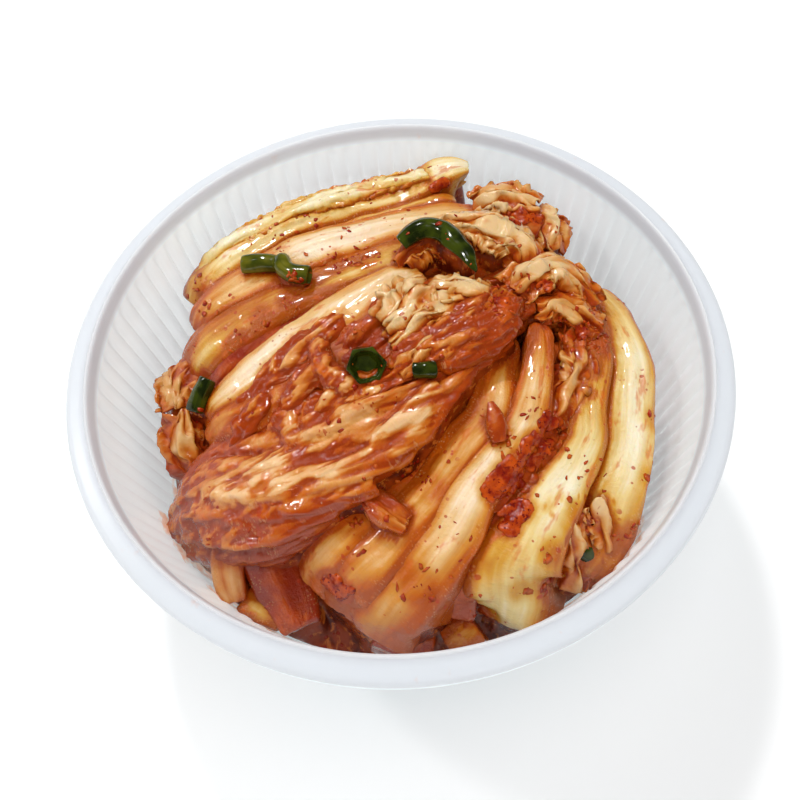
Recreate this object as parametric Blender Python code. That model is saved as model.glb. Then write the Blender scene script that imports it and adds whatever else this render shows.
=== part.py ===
"""Cabbage kimchi heaped in a round disposable plastic bowl.

Metres, +Z up.  The origin is the centre of the flat base, so the bowl stands on z = 0.
The heap's widest cabbage wedge lies at +X and its second wedge at -X, +Y.
"""

from math import copysign, cos, pi, sin, sqrt

import bmesh
import bpy
from mathutils import Vector

MM = 0.001

# Driving dimensions of the bowl
RIM_RADIUS = 65.0 * MM
BOWL_HEIGHT = 52.0 * MM
WALL_TOP_RADIUS = 59.8 * MM      # inner wall at the foot of the rim
WALL_TOP_HEIGHT = 48.0 * MM
WALL_TAPER = 0.12                # inward run of the wall for each unit down
WALL_THICKNESS = 0.9 * MM
FLOOR_THICKNESS = 1.0 * MM
FLOOR_CORNER_RADIUS = 9.0 * MM
LIP_DROP = 3.2 * MM              # height of the rim's turned-down skirt
CREST_WIDTH = 1.0 * MM           # the rim's bead rises this far outside the wall
FLANGE_DROP = 1.2 * MM           # the flat of the rim lies this far below the bead
RIM_THICKNESS = 1.2 * MM
BOWL_SEGMENTS = 56

# Driving dimensions of the food
CLEARANCE = 0.35 * MM            # kept between any two pieces that touch
HEAP_EDGE_HEIGHT = 24.0 * MM     # the heap against the wall
HEAP_MIDDLE_HEIGHT = 32.0 * MM
HEAP_UNEVENNESS = 1.2 * MM
HEAP_SEGMENTS = 24
ROUND_END = 0.16                 # share of a piece's length taken by a rounded end
END_FULLNESS = 0.35              # breadth left at the very end of a rounded piece
RIB_ROUNDNESS = 0.6              # 1 gives an oval rib, 0 a square one

# Colour, roughness and metallic value of each material
MATERIALS = {
    "milky_plastic": ((0.86, 0.87, 0.89), 0.35, 0.0),
    "cabbage_rib": ((0.86, 0.72, 0.46), 0.28, 0.0),
    "cabbage_leaf": ((0.80, 0.42, 0.16), 0.22, 0.0),
    "spiced_heap": ((0.42, 0.09, 0.02), 0.25, 0.0),
    "scallion": ((0.06, 0.16, 0.02), 0.2, 0.0),
    "radish": ((0.72, 0.28, 0.06), 0.25, 0.0),
}

# Cabbage ribs: name, bends of the top edge from leaf tip to cut base, breadth and
# depth at tip and base.  All in millimetres.
RIBS = [
    ("right_rib_1", [(18, -4, 44), (11, -14, 44), (-1, -25, 42.5), (-15, -33, 38)], (5, 7), (9, 14)),
    ("right_rib_2", [(23.5, -1, 48), (15.5, -15, 47.5), (0.5, -29.5, 45), (-18, -41, 38.5)],
     (7, 12), (11, 16)),
    ("right_rib_3", [(29, 2, 49), (24.5, -15, 48.5), (10.5, -31, 46), (-8.5, -47.5, 37)],
     (6.5, 14), (11, 16)),
    ("right_rib_4", [(35.5, 0, 47), (31, -17, 46), (20, -31, 43), (6.5, -43, 37)], (8, 9), (10, 14)),
    ("right_rib_5", [(41, -3, 46), (37, -19, 46), (27, -34.5, 44), (14.5, -47, 38)], (5, 18), (11, 16)),
    ("right_rib_6", [(42.5, 9, 44), (47, -8.5, 43), (42.5, -26, 41.5), (30, -41, 37.5)],
     (10, 13), (12, 16)),
    ("left_rib_1", [(18.5, 50, 44.5), (-8.5, 47, 43.5), (-28.5, 38.5, 43), (-42.5, 30, 41)],
     (6, 9), (11, 15)),
    ("left_rib_2", [(17, 38.5, 46), (-4, 38.5, 46), (-21, 32.5, 45.5), (-37, 24.5, 43)],
     (9, 9), (11, 14)),
    ("left_rib_3", [(0, 29.5, 48), (-18, 24.5, 47), (-32, 18, 44.5), (-44, 11, 40)], (7, 10), (12, 15)),
    ("left_rib_4", [(-4, 22.5, 47.5), (-20, 16.5, 46), (-30.5, 10, 43.5), (-39.5, 4, 39)],
     (5, 7), (9, 13)),
    ("left_rib_5", [(1, 17, 50), (-14, 11, 49), (-27.5, 4, 45.5), (-38, -2, 40.5)], (8, 9), (12, 15)),
    ("left_rib_6", [(-3, 7.5, 49), (-12, 3.5, 48.5), (-24, -2, 45), (-37, -7, 39.5)], (7, 8), (12, 14)),
    ("left_rib_7", [(-11, -4, 48), (-19, -7, 46.5), (-28, -10, 43), (-38, -13, 37)], (7, 7), (10, 13)),
]

# Limp leaves: name, bends of the top line, breadth and depth at start and end, number
# of folds along the leaf, tilt in radians.  All in millimetres.
LEAVES = [
    ("front_leaf", [(-47.5, -27, 35), (-31, -26.5, 43), (-14.5, -21, 47.5), (2, -11.5, 51), (13.5, -3, 52)],
     (25, 13), (13, 8), 5, 0.1),
    ("red_leaf", [(25.5, 5.5, 53), (17, 1, 55), (8, -3, 54.5), (-3, -8.5, 52.5)],
     (11, 9), (7, 6), 3, 0.0),
    ("middle_leaf", [(-8.5, -0.5, 51.5), (0, 5, 54), (8, 7.5, 54.5), (17, 9, 54)],
     (13, 13), (7, 8), 4, 0.0),
    ("curled_leaf", [(4, 22, 48.5), (13, 23.5, 50.5), (22, 22.5, 50.5), (29, 17, 48)],
     (9, 12), (8, 9), 3, 0.0),
    ("back_leaf", [(19, 35.5, 45), (28, 35, 46.5), (36, 34, 45.5), (44, 32, 41.5)],
     (12, 16), (10, 11), 4, 0.0),
    ("side_leaf", [(24, 12.5, 50), (32, 11.5, 49.5), (40, 13, 47), (47, 16.5, 41)],
     (14, 11), (9, 10), 4, 0.0),
    ("crumpled_leaf", [(-46, 10, 34), (-47.5, 0, 34), (-46.5, -9, 32.5), (-44, -17, 30)],
     (11, 11), (11, 10), 3, 0.0),
    ("torn_leaf", [(28.5, -33, 42.5), (31, -38.5, 40), (32, -43.5, 35.5), (31, -48, 30)],
     (9, 12), (5, 5), 3, 0.4),
    ("leaf_flap", [(-8, -30.5, 46), (-4, -34, 46.5), (0, -37, 44)], (5, 4), (3, 3), 2, 0.0),
]

# Short pieces: name, bends, breadth and depth at start and end, material
BITS = [
    ("stem_bit_1", [(-36.5, -32, 33.5), (-37, -38, 31), (-36, -44, 27)], (8, 5), (5, 4), "cabbage_rib"),
    ("stem_bit_2", [(-35, -41.5, 24), (-30.5, -44.5, 25), (-26.5, -47.5, 24)],
     (7, 5), (5, 4), "cabbage_rib"),
    ("stem_bit_3", [(-29, -33, 31.5), (-25, -41.5, 28.5), (-21, -49.5, 24)],
     (13, 11), (8, 7), "cabbage_leaf"),
    ("stem_bit_4", [(4, -54.5, 23), (7, -53, 25), (10, -51.5, 26)], (6, 7), (6, 7), "cabbage_rib"),
    ("stem_bit_5", [(-8, -49.5, 25.5), (-3, -52, 24.5), (3, -53.5, 22)],
     (8, 8), (8, 7), "cabbage_leaf"),
    ("radish_wedge", [(17, -17, 50.5), (17.5, -20.5, 50.5), (17.5, -24, 49)],
     (3, 3.5), (3, 3), "radish"),
]

# Scallion cuts: name, bends, radius of the tube
SCALLIONS = [
    ("scallion_1", [(1.5, 23.5, 50.5), (5, 26, 52.5), (10, 25.5, 53.5), (14.5, 20, 54), (17, 12.5, 54)],
     2.6),
    ("scallion_2", [(-32.5, 26.5, 48), (-28, 26, 48.5), (-24.3, 25.5, 48.5)], 2.3),
    ("scallion_3", [(-23.6, 26.5, 49), (-21.5, 21.5, 50), (-17, 20, 50)], 2.4),
    ("scallion_4", [(-9.5, -1.5, 56), (-7.5, -3.5, 54), (-5.5, -5.5, 52)], 3.9),
    ("scallion_5", [(2.5, -9.5, 54.5), (5, -10, 55), (7.5, -10, 54.5)], 1.7),
    ("scallion_6", [(-40.5, 0, 42.5), (-42.5, -3, 41), (-44, -6, 39)], 2.0),
    ("scallion_7", [(30, -41, 39.5), (32.5, -43, 38.5), (35, -44, 37)], 2.1),
]


def clear_scene():
    for item in list(bpy.data.objects):
        bpy.data.objects.remove(item, do_unlink=True)


def material(name):
    found = bpy.data.materials.get(name)
    if found:
        return found
    colour, roughness, metallic = MATERIALS[name]
    made = bpy.data.materials.new(name)
    made.use_nodes = True
    shader = made.node_tree.nodes["Principled BSDF"]
    shader.inputs["Base Color"].default_value = (*colour, 1.0)
    shader.inputs["Roughness"].default_value = roughness
    shader.inputs["Metallic"].default_value = metallic
    return made


def finish_mesh(name, bm, material_name, angle=0.7):
    """Turn the built shape into a named, smoothly shaded object."""
    bmesh.ops.remove_doubles(bm, verts=bm.verts, dist=0.00002)
    bmesh.ops.recalc_face_normals(bm, faces=bm.faces)
    mesh = bpy.data.meshes.new(name)
    bm.to_mesh(mesh)
    bm.free()
    mesh.shade_smooth()
    mesh.set_sharp_from_angle(angle=angle)
    made = bpy.data.objects.new(name, mesh)
    bpy.context.collection.objects.link(made)
    mesh.materials.append(material(material_name))
    return made


def wall_radius(height):
    """Inner radius of the bowl's straight wall at a height."""
    return WALL_TOP_RADIUS - WALL_TAPER * (WALL_TOP_HEIGHT - height)


def corner_arc(radius_at_floor, floor, radius, steps):
    """Quarter round from the floor up to the wall, as radius and height pairs."""
    turns = [pi / 2 * step / steps for step in range(steps + 1)]
    return [(radius_at_floor + radius * sin(turn), floor + radius * (1 - cos(turn))) for turn in turns]


def bowl_profile():
    """Radius and height of the bowl's section, from the inner floor round to the base."""
    inner_corner = wall_radius(FLOOR_THICKNESS + FLOOR_CORNER_RADIUS) - FLOOR_CORNER_RADIUS
    outer_radius = FLOOR_CORNER_RADIUS + WALL_THICKNESS
    profile = [(0.0, FLOOR_THICKNESS)]
    profile += corner_arc(inner_corner, FLOOR_THICKNESS, FLOOR_CORNER_RADIUS, 3)
    crest = WALL_TOP_RADIUS + CREST_WIDTH
    flange = BOWL_HEIGHT - FLANGE_DROP
    profile += [
        (WALL_TOP_RADIUS, WALL_TOP_HEIGHT),
        (crest - CREST_WIDTH / 2, BOWL_HEIGHT - CREST_WIDTH),
        (crest, BOWL_HEIGHT),
        (crest + 0.4 * MM, BOWL_HEIGHT - FLANGE_DROP / 2),
        (RIM_RADIUS - 1.3 * MM, flange),
        (RIM_RADIUS, flange - 0.7 * MM),
        (RIM_RADIUS, flange - LIP_DROP),
        (RIM_RADIUS - 0.8 * MM, flange - LIP_DROP),
        (RIM_RADIUS - 1.3 * MM, flange - RIM_THICKNESS),
        (WALL_TOP_RADIUS + WALL_THICKNESS + 0.7 * MM, flange - RIM_THICKNESS + 0.2 * MM),
        (WALL_TOP_RADIUS + WALL_THICKNESS, WALL_TOP_HEIGHT),
    ]
    profile += reversed(corner_arc(inner_corner, 0.0, outer_radius, 3))
    profile.append((0.0, 0.0))
    return profile


def make_bowl():
    bm = bmesh.new()
    points = [bm.verts.new((radius, 0.0, height)) for radius, height in bowl_profile()]
    edges = [bm.edges.new(pair) for pair in zip(points, points[1:])]
    bmesh.ops.spin(
        bm,
        geom=points + edges,
        cent=(0, 0, 0),
        axis=(0, 0, 1),
        angle=2 * pi,
        steps=BOWL_SEGMENTS,
        use_merge=True,
    )
    return finish_mesh("bowl", bm, "milky_plastic", angle=0.5)


def smooth_line(bends, count):
    """Evenly numbered places on a smooth line through the bends."""
    bends = [Vector(bend) * MM for bend in bends]
    bends = [2 * bends[0] - bends[1]] + bends + [2 * bends[-1] - bends[-2]]
    spans = len(bends) - 3
    line = []
    for step in range(count):
        place = min(step * spans / (count - 1), spans - 1e-6)
        span = int(place)
        t = place - span
        a, b, c, d = bends[span:span + 4]
        line.append(
            0.5 * (2 * b + (c - a) * t + (2 * a - 5 * b + 4 * c - d) * t * t
                   + (3 * b - a - 3 * c + d) * t ** 3)
        )
    return line


def frames(line, tilt):
    """Place, sideways and upward direction at each station of a line."""
    for number, place in enumerate(line):
        ahead = line[min(number + 1, len(line) - 1)]
        behind = line[max(number - 1, 0)]
        tangent = (ahead - behind).normalized()
        side = tangent.cross(Vector((0, 0, 1))).normalized()
        up = side.cross(tangent)
        turned_side = side * cos(tilt) + up * sin(tilt)
        turned_up = up * cos(tilt) - side * sin(tilt)
        yield place, turned_side, turned_up


def rib_section():
    """Rounded block, one unit to each side, of a thick cabbage rib."""
    shape = []
    for step in range(10):
        turn = 2 * pi * (step + 0.5) / 10
        x, y = cos(turn), sin(turn)
        shape.append((copysign(abs(x) ** RIB_ROUNDNESS, x), copysign(abs(y) ** RIB_ROUNDNESS, y)))
    return shape


def folded_section(folds):
    """Wide section of a limp leaf with lengthwise folds on its upper face."""
    count = 2 * folds
    top = []
    for step in range(count + 1):
        across = 1 - 2 * step / count
        crown = sqrt(max(0.0, 1.1 - across * across))
        ridge = 0.22 if step % 2 else -0.1
        top.append((across, 0.75 * crown + ridge - 0.05))
    below = [(-0.85, -0.75), (0.0, -1.0), (0.85, -0.75)]
    return top + below


def round_section(sides):
    return [(cos(2 * pi * step / sides), sin(2 * pi * step / sides)) for step in range(sides)]


def fullness(along, blunt_start, blunt_end):
    """How full the section is at a place along the piece: round ends close in."""
    full = 1.0
    for distance, blunt in ((along, blunt_start), (1 - along, blunt_end)):
        if not blunt and distance < ROUND_END:
            rise = sqrt(1 - (1 - distance / ROUND_END) ** 2)
            full = END_FULLNESS + (1 - END_FULLNESS) * rise
    return full


def sweep(name, bends, section, breadth, depth, material_name, stations, tilt=0.0, cut=(False, False)):
    """Extrude a section station by station along a smooth line, which its top follows.

    cut says whether the start and the end are cut flat or rounded off.
    """
    bm = bmesh.new()
    face = None
    line = smooth_line(bends, stations)
    for number, (place, side, up) in enumerate(frames(line, tilt)):
        along = number / (stations - 1)
        wide = (breadth[0] + (breadth[1] - breadth[0]) * along) * MM / 2
        deep = (depth[0] + (depth[1] - depth[0]) * along) * MM / 2
        full = fullness(along, *cut)
        middle = place - up * deep
        ring = [middle + side * (x * wide * full) + up * (y * deep * full) for x, y in section]
        if face is None:
            face = bm.faces.new([bm.verts.new(point) for point in ring])
            continue
        grown = bmesh.ops.extrude_face_region(bm, geom=[face])["geom"]
        if number > 1:
            bmesh.ops.delete(bm, geom=[face], context="FACES_ONLY")
        face = next(item for item in grown if isinstance(item, bmesh.types.BMFace))
        for vertex, point in zip(face.verts, ring):
            vertex.co = point
    return finish_mesh(name, bm, material_name)


def make_ribs():
    return [
        sweep(name, bends, rib_section(), breadth, depth, "cabbage_rib", 8, cut=(False, True))
        for name, bends, breadth, depth in RIBS
    ]


def make_leaves():
    return [
        sweep(name, bends, folded_section(folds), breadth, depth, "cabbage_leaf", 7, tilt)
        for name, bends, breadth, depth, folds, tilt in LEAVES
    ]


def make_bits():
    return [
        sweep(name, bends, rib_section(), breadth, depth, material_name, 5)
        for name, bends, breadth, depth, material_name in BITS
    ]


def make_scallions():
    made = []
    for name, bends, radius in SCALLIONS:
        size = (2 * radius, 2 * radius)
        made.append(sweep(name, bends, round_section(8), size, size, "scallion", 5, cut=(True, True)))
    return made


def heap_height(radius, turn):
    """Uneven top of the heap, high in the middle and low against the wall."""
    share = radius / wall_radius(HEAP_EDGE_HEIGHT)
    fall = HEAP_EDGE_HEIGHT + (HEAP_MIDDLE_HEIGHT - HEAP_EDGE_HEIGHT) * (1 - share ** 4)
    lumps = sin(3 * turn + 1.0) + sin(7 * turn + 90 * radius) + 0.6 * sin(11 * turn - 60 * radius)
    return fall + HEAP_UNEVENNESS * 0.4 * lumps


def make_heap():
    """The lower mass of cabbage, which fills the bowl up to the pieces on top."""
    bm = bmesh.new()
    floor = FLOOR_THICKNESS + CLEARANCE
    corner = FLOOR_CORNER_RADIUS
    inner_corner = wall_radius(FLOOR_THICKNESS + corner) - corner
    under = [(0.5, floor)]
    under += [(radius - CLEARANCE, height) for radius, height in corner_arc(inner_corner, floor, corner, 3)]
    edge = wall_radius(HEAP_EDGE_HEIGHT) - CLEARANCE - 1.0 * MM
    top_radii = [edge * share for share in (1.0, 0.86, 0.7, 0.5, 0.27)]
    rows = len(under[1:]) + len(top_radii)
    grid = []
    for column in range(HEAP_SEGMENTS):
        turn = 2 * pi * column / HEAP_SEGMENTS
        spoke = under[1:] + [(radius, heap_height(radius, turn)) for radius in top_radii]
        grid.append([bm.verts.new((r * cos(turn), r * sin(turn), z)) for r, z in spoke])
    bottom = bm.verts.new((0, 0, floor))
    crown = bm.verts.new((0, 0, heap_height(0.0, 0.0)))
    for column in range(HEAP_SEGMENTS):
        here = grid[column]
        after = grid[(column + 1) % HEAP_SEGMENTS]
        bm.faces.new((bottom, after[0], here[0]))
        bm.faces.new((crown, here[-1], after[-1]))
        for row in range(rows - 1):
            bm.faces.new((here[row], after[row], after[row + 1], here[row + 1]))
    return finish_mesh("kimchi_heap", bm, "spiced_heap")


def box_of(item):
    corners = [vertex.co for vertex in item.data.vertices]
    low = [min(corner[axis] for corner in corners) for axis in range(3)]
    high = [max(corner[axis] for corner in corners) for axis in range(3)]
    return low, high


def near(first, second):
    low_a, high_a = box_of(first)
    low_b, high_b = box_of(second)
    gap = 2 * CLEARANCE
    return all(
        low_a[axis] < high_b[axis] + gap and low_b[axis] < high_a[axis] + gap
        for axis in range(3)
    )


def grown_copy(item):
    """A copy swollen by the clearance, used to cut room in the piece below."""
    copy = bpy.data.objects.new("room_" + item.name, item.data.copy())
    bpy.context.collection.objects.link(copy)
    swell = copy.modifiers.new("swell", "DISPLACE")
    swell.strength = CLEARANCE
    swell.mid_level = 0.0
    copy.hide_render = True
    copy.display_type = "WIRE"
    return copy


def evaluated_mesh(item):
    bpy.context.view_layer.update()
    depsgraph = bpy.context.evaluated_depsgraph_get()
    return bpy.data.meshes.new_from_object(item.evaluated_get(depsgraph), depsgraph=depsgraph)


def islands(bm):
    """Groups of joined faces, the largest area first."""
    waiting = set(bm.faces)
    groups = []
    while waiting:
        group = [waiting.pop()]
        for face in group:
            for edge in face.edges:
                for neighbour in edge.link_faces:
                    if neighbour in waiting:
                        waiting.remove(neighbour)
                        group.append(neighbour)
        groups.append(group)
    return sorted(groups, key=lambda group: -sum(face.calc_area() for face in group))


def carve(item, cutters, solver):
    """Cut the room of the pieces above out of a piece, and keep its main body."""
    for cutter in cutters:
        cut = item.modifiers.new("room", "BOOLEAN")
        cut.operation = "DIFFERENCE"
        cut.solver = solver
        cut.object = cutter
    carved = evaluated_mesh(item)
    item.modifiers.clear()
    bm = bmesh.new()
    bm.from_mesh(carved)
    bmesh.ops.triangulate(bm, faces=bm.faces)
    for group in islands(bm)[1:]:
        bmesh.ops.delete(bm, geom=group, context="FACES")
    loose = [vertex for vertex in bm.verts if not vertex.link_faces]
    bmesh.ops.delete(bm, geom=loose, context="VERTS")
    bm.to_mesh(item.data)
    bm.free()


def nest(pieces):
    """Seat each piece under those before it in the list.

    The heap, last, is cut by so many pieces at once that it needs the solver which
    keeps a closed surface closed.
    """
    rooms = [grown_copy(item) for item in pieces[:-1]]
    for number, item in enumerate(pieces):
        above = [room for room in rooms[:number] if near(item, room)]
        if above:
            carve(item, above, "MANIFOLD" if item is pieces[-1] else "EXACT")
    for room in rooms:
        bpy.data.objects.remove(room, do_unlink=True)


def main():
    clear_scene()
    bowl = make_bowl()
    scallions = make_scallions()
    leaves = make_leaves()
    bits = make_bits()
    ribs = make_ribs()
    heap = make_heap()
    nest([bowl] + scallions + leaves + bits + ribs + [heap])


main()
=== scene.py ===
"""The looks of a bowl of cabbage kimchi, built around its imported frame.

Metres, +Z up.  The tables of bends and sizes are in millimetres and are turned to
metres where they are used.
"""

import random
from itertools import count
from math import atan2, cos, pi, radians, sin

import bpy
from mathutils import Matrix, Quaternion, Vector
from mathutils import noise as field
from mathutils.bvhtree import BVHTree
from mathutils.kdtree import KDTree


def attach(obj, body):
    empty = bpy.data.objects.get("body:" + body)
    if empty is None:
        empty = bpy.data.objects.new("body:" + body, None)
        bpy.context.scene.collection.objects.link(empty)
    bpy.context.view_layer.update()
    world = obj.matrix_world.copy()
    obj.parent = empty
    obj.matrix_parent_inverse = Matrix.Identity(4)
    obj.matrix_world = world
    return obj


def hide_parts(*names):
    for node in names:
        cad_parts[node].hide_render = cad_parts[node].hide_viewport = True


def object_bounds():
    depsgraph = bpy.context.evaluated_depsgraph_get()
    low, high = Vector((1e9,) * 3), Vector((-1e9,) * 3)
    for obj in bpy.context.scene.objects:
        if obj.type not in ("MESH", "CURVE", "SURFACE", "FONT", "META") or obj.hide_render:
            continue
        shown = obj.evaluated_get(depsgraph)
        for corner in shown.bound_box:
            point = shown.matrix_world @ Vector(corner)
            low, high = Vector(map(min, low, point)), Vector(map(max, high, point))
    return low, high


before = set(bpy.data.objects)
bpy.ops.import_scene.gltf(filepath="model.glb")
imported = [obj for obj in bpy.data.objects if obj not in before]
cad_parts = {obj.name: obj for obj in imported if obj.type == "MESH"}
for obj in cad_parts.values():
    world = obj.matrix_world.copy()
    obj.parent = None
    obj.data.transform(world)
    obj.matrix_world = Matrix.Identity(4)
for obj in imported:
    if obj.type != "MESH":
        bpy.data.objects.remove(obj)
cad_low, cad_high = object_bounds()

MM = 0.001

# ---------------------------------------------------------------- hand tools


def let_go():
    """Leaves nothing selected."""
    bpy.ops.object.select_all(action="DESELECT")


def take(piece):
    """Makes one piece the only one selected."""
    let_go()
    piece.select_set(True)
    bpy.context.view_layer.objects.active = piece


def name_piece(name):
    piece = bpy.context.object
    piece.name = name
    piece.data.name = name
    return piece


def edit(piece):
    take(piece)
    bpy.ops.object.mode_set(mode="EDIT")
    bpy.ops.mesh.select_all(action="DESELECT")


def leave():
    bpy.ops.object.mode_set(mode="OBJECT")


def pick(piece, wanted, kind="VERT"):
    """In edit mode, selects the vertices, edges or faces whose corners pass a test."""
    bpy.ops.mesh.select_mode(type=kind)
    bpy.ops.mesh.select_all(action="DESELECT")
    bpy.ops.object.mode_set(mode="OBJECT")
    mesh = piece.data
    places = [vertex.co for vertex in mesh.vertices]
    if kind == "VERT":
        for vertex in mesh.vertices:
            vertex.select = wanted(vertex.co)
    elif kind == "EDGE":
        for edge in mesh.edges:
            edge.select = wanted(*[places[corner] for corner in edge.vertices])
    else:
        for face in mesh.polygons:
            face.select = wanted(face.center)
    bpy.ops.object.mode_set(mode="EDIT")


def finish(piece, kind, **settings):
    """Adds a modifier with these settings and applies it."""
    take(piece)
    modifier = piece.modifiers.new(kind.lower(), kind)
    for setting, value in settings.items():
        setattr(modifier, setting, value)
    bpy.ops.object.modifier_apply(modifier=modifier.name)


def subdivide(piece, levels):
    finish(piece, "SUBSURF", levels=levels, render_levels=levels)


def noise_texture(name, kind, size, depth):
    texture = bpy.data.textures.get(name)
    if texture is None:
        texture = bpy.data.textures.new(name, kind)
        texture.noise_scale = size
        if kind == "CLOUDS":
            texture.noise_depth = depth
    return texture


def offsets(piece):
    return [vertex.co.copy() for vertex in piece.data.vertices]


def wrinkle(piece, push, size, stretch, seed, depth=1, kind="CLOUDS"):
    """Folds running along a straight piece: noise drawn out along X."""
    bpy.ops.object.empty_add(location=(seed * 0.37, seed * 0.11, seed * 0.23))
    mark = bpy.context.object
    mark.scale = (size * stretch, size, size)
    bpy.context.view_layer.update()
    texture = noise_texture(f"{kind} {depth}", kind, 1.0, depth)
    finish(
        piece, "DISPLACE", texture=texture, texture_coords="OBJECT",
        texture_coords_object=mark, strength=push, mid_level=0.5,
    )
    bpy.data.objects.remove(mark)


def roughen(piece, push, size, direction="NORMAL", depth=1):
    """Unevenness that is the same in every direction."""
    kind = "COLOR" if direction == "RGB_TO_XYZ" else "GREYSCALE"
    name = f"clouds {size:.4f} {depth} {kind}"
    texture = noise_texture(name, "CLOUDS", size, depth)
    texture.cloud_type = "COLOR" if kind == "COLOR" else "GRAYSCALE"
    finish(
        piece, "DISPLACE", texture=texture, texture_coords="LOCAL",
        direction=direction, strength=push, mid_level=0.5,
    )


def bend_line(bends, breadths, tilts):
    """The curve that a straight piece is bent along; its radius swells the piece."""
    bpy.ops.curve.primitive_bezier_curve_add(location=(0, 0, 0))
    line = bpy.context.object
    line.data.twist_mode = "Z_UP"
    line.data.use_stretch = True
    line.data.use_deform_bounds = True
    line.data.use_radius = True
    line.data.resolution_u = 24
    spline = line.data.splines[0]
    spline.bezier_points.add(len(bends) - 2)
    for point, bend, breadth, tilt in zip(spline.bezier_points, bends, breadths, tilts):
        point.co = Vector(bend) * MM
        point.handle_left_type = "AUTO"
        point.handle_right_type = "AUTO"
        point.radius = breadth
        point.tilt = radians(tilt)
    return line


def line_length(bends):
    places = [Vector(bend) * MM for bend in bends]
    return sum((after - before).length for before, after in zip(places, places[1:]))


def between(values, shares, share):
    """The value at a share of the length, from the values at the bends."""
    for number in range(1, len(shares)):
        if share <= shares[number] or number == len(shares) - 1:
            step = (share - shares[number - 1]) / max(1e-6, shares[number] - shares[number - 1])
            step = min(1.0, max(0.0, step))
            return values[number - 1] + (values[number] - values[number - 1]) * step


def keep_grain(piece, number, breadth, depth, before, push, places, soaks):
    """Stores how each point lay while the piece was straight, for its patterns.

    grain runs along the piece in X; edge is 0 in the middle of the top, 1 at its
    shoulder and more down its sides; fold is 1 on the crest of a fold and 0 in its
    valley; soaked is how saucy it is there.
    """
    mesh = piece.data
    mesh.attributes.new("grain", "FLOAT_VECTOR", "POINT")
    for name in ("edge", "fold", "soaked"):
        mesh.attributes.new(name, "FLOAT", "POINT")
    grain, edge, fold, soaked = [mesh.attributes[name] for name in ("grain", "edge", "fold", "soaked")]
    longest = max(place.x for place in before)
    shift = Vector((number * 0.173, 0, 0))
    shares = [line_length(places[:count + 1]) / line_length(places) for count in range(len(places))]
    for vertex, place in zip(mesh.vertices, before):
        number = vertex.index
        grain.data[number].vector = place + shift
        edge.data[number].value = abs(place.y) / (breadth / 2) - min(0.0, place.z) / (depth / 2)
        raised = (vertex.co - place).dot(vertex.normal) / max(push, 1e-6)
        fold.data[number].value = 0.5 + raised
        soaked.data[number].value = between(soaks, shares, place.x / longest)


def bend(piece, bends, breadths, tilts):
    line = bend_line(bends, breadths, tilts)
    finish(piece, "CURVE", object=line)
    bpy.data.objects.remove(line)


food = []          # every piece of food whose crevices are shaded
numbers = count(1)


def add_food(piece, slot, *nodes):
    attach(piece, "root")
    if nodes:
        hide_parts(*nodes)
    food.append(piece)


def find_surface():
    """All the food so far as one tree that rays can be cast at."""
    corners, faces = [], []
    for piece in food:
        base = len(corners)
        corners += [vertex.co.copy() for vertex in piece.data.vertices]
        faces += [tuple(base + corner for corner in face.vertices) for face in piece.data.polygons]
    return BVHTree.FromPolygons(corners, faces)

# ---------------------------------------------------------------- materials


class Nodes:
    """Adds and joins the nodes of one tree."""

    def __init__(self, tree):
        self.tree = tree

    def add(self, kind, settings=None, **inputs):
        node = self.tree.nodes.new("ShaderNode" + kind)
        for setting, value in (settings or {}).items():
            setattr(node, setting, value)
        for name, value in inputs.items():
            self.feed(node, name.replace("_", " "), value)
        return node

    def feed(self, node, name, value):
        socket = node.inputs[int(name[1:])] if name[0] == "i" and name[1:].isdigit() else node.inputs[name]
        if isinstance(value, bpy.types.NodeSocket):
            self.tree.links.new(value, socket)
        else:
            socket.default_value = value

    def math(self, operation, *values, clamp=False):
        node = self.add("Math", {"operation": operation, "use_clamp": clamp})
        for number, value in enumerate(values):
            self.feed(node, f"i{number}", value)
        return node.outputs[0]

    def vector(self, operation, *values):
        node = self.add("VectorMath", {"operation": operation})
        for number, value in enumerate(values):
            self.feed(node, f"i{number}", value)
        return node.outputs[0]

    def mask(self, value, low, high):
        """0 below low, 1 above high, smooth between; low may be the larger."""
        node = self.add("MapRange", {"interpolation_type": "SMOOTHSTEP"})
        self.feed(node, "Value", value)
        self.feed(node, "From Min", low)
        self.feed(node, "From Max", high)
        return node.outputs[0]

    def noise(self, vector, scale, detail=2.0, rough=0.5):
        node = self.add("TexNoise", Vector=vector, Scale=scale, Detail=detail, Roughness=rough)
        return node.outputs["Fac"]

    def mix(self, share, first, second, kind="MIX"):
        node = self.add("Mix", {"data_type": "RGBA", "blend_type": kind, "clamp_factor": True})
        self.feed(node, "i0", share)
        self.feed(node, "i6", first)
        self.feed(node, "i7", second)
        return node.outputs[2]


def tint(red, green, blue):
    """A colour given as it looks, from 0 to 255, turned to linear light."""
    return tuple(((c / 255 + 0.055) / 1.055) ** 2.4 if c > 10 else c / 255 / 12.92 for c in (red, green, blue)) + (1.0,)


def new_material(name):
    made = bpy.data.materials.new(name)
    made.use_nodes = True
    nodes = Nodes(made.node_tree)
    shader = made.node_tree.nodes["Principled BSDF"]
    return made, nodes, shader


def constants(shader, **values):
    for name, value in values.items():
        shader.inputs[name.replace("_", " ")].default_value = value


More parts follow.
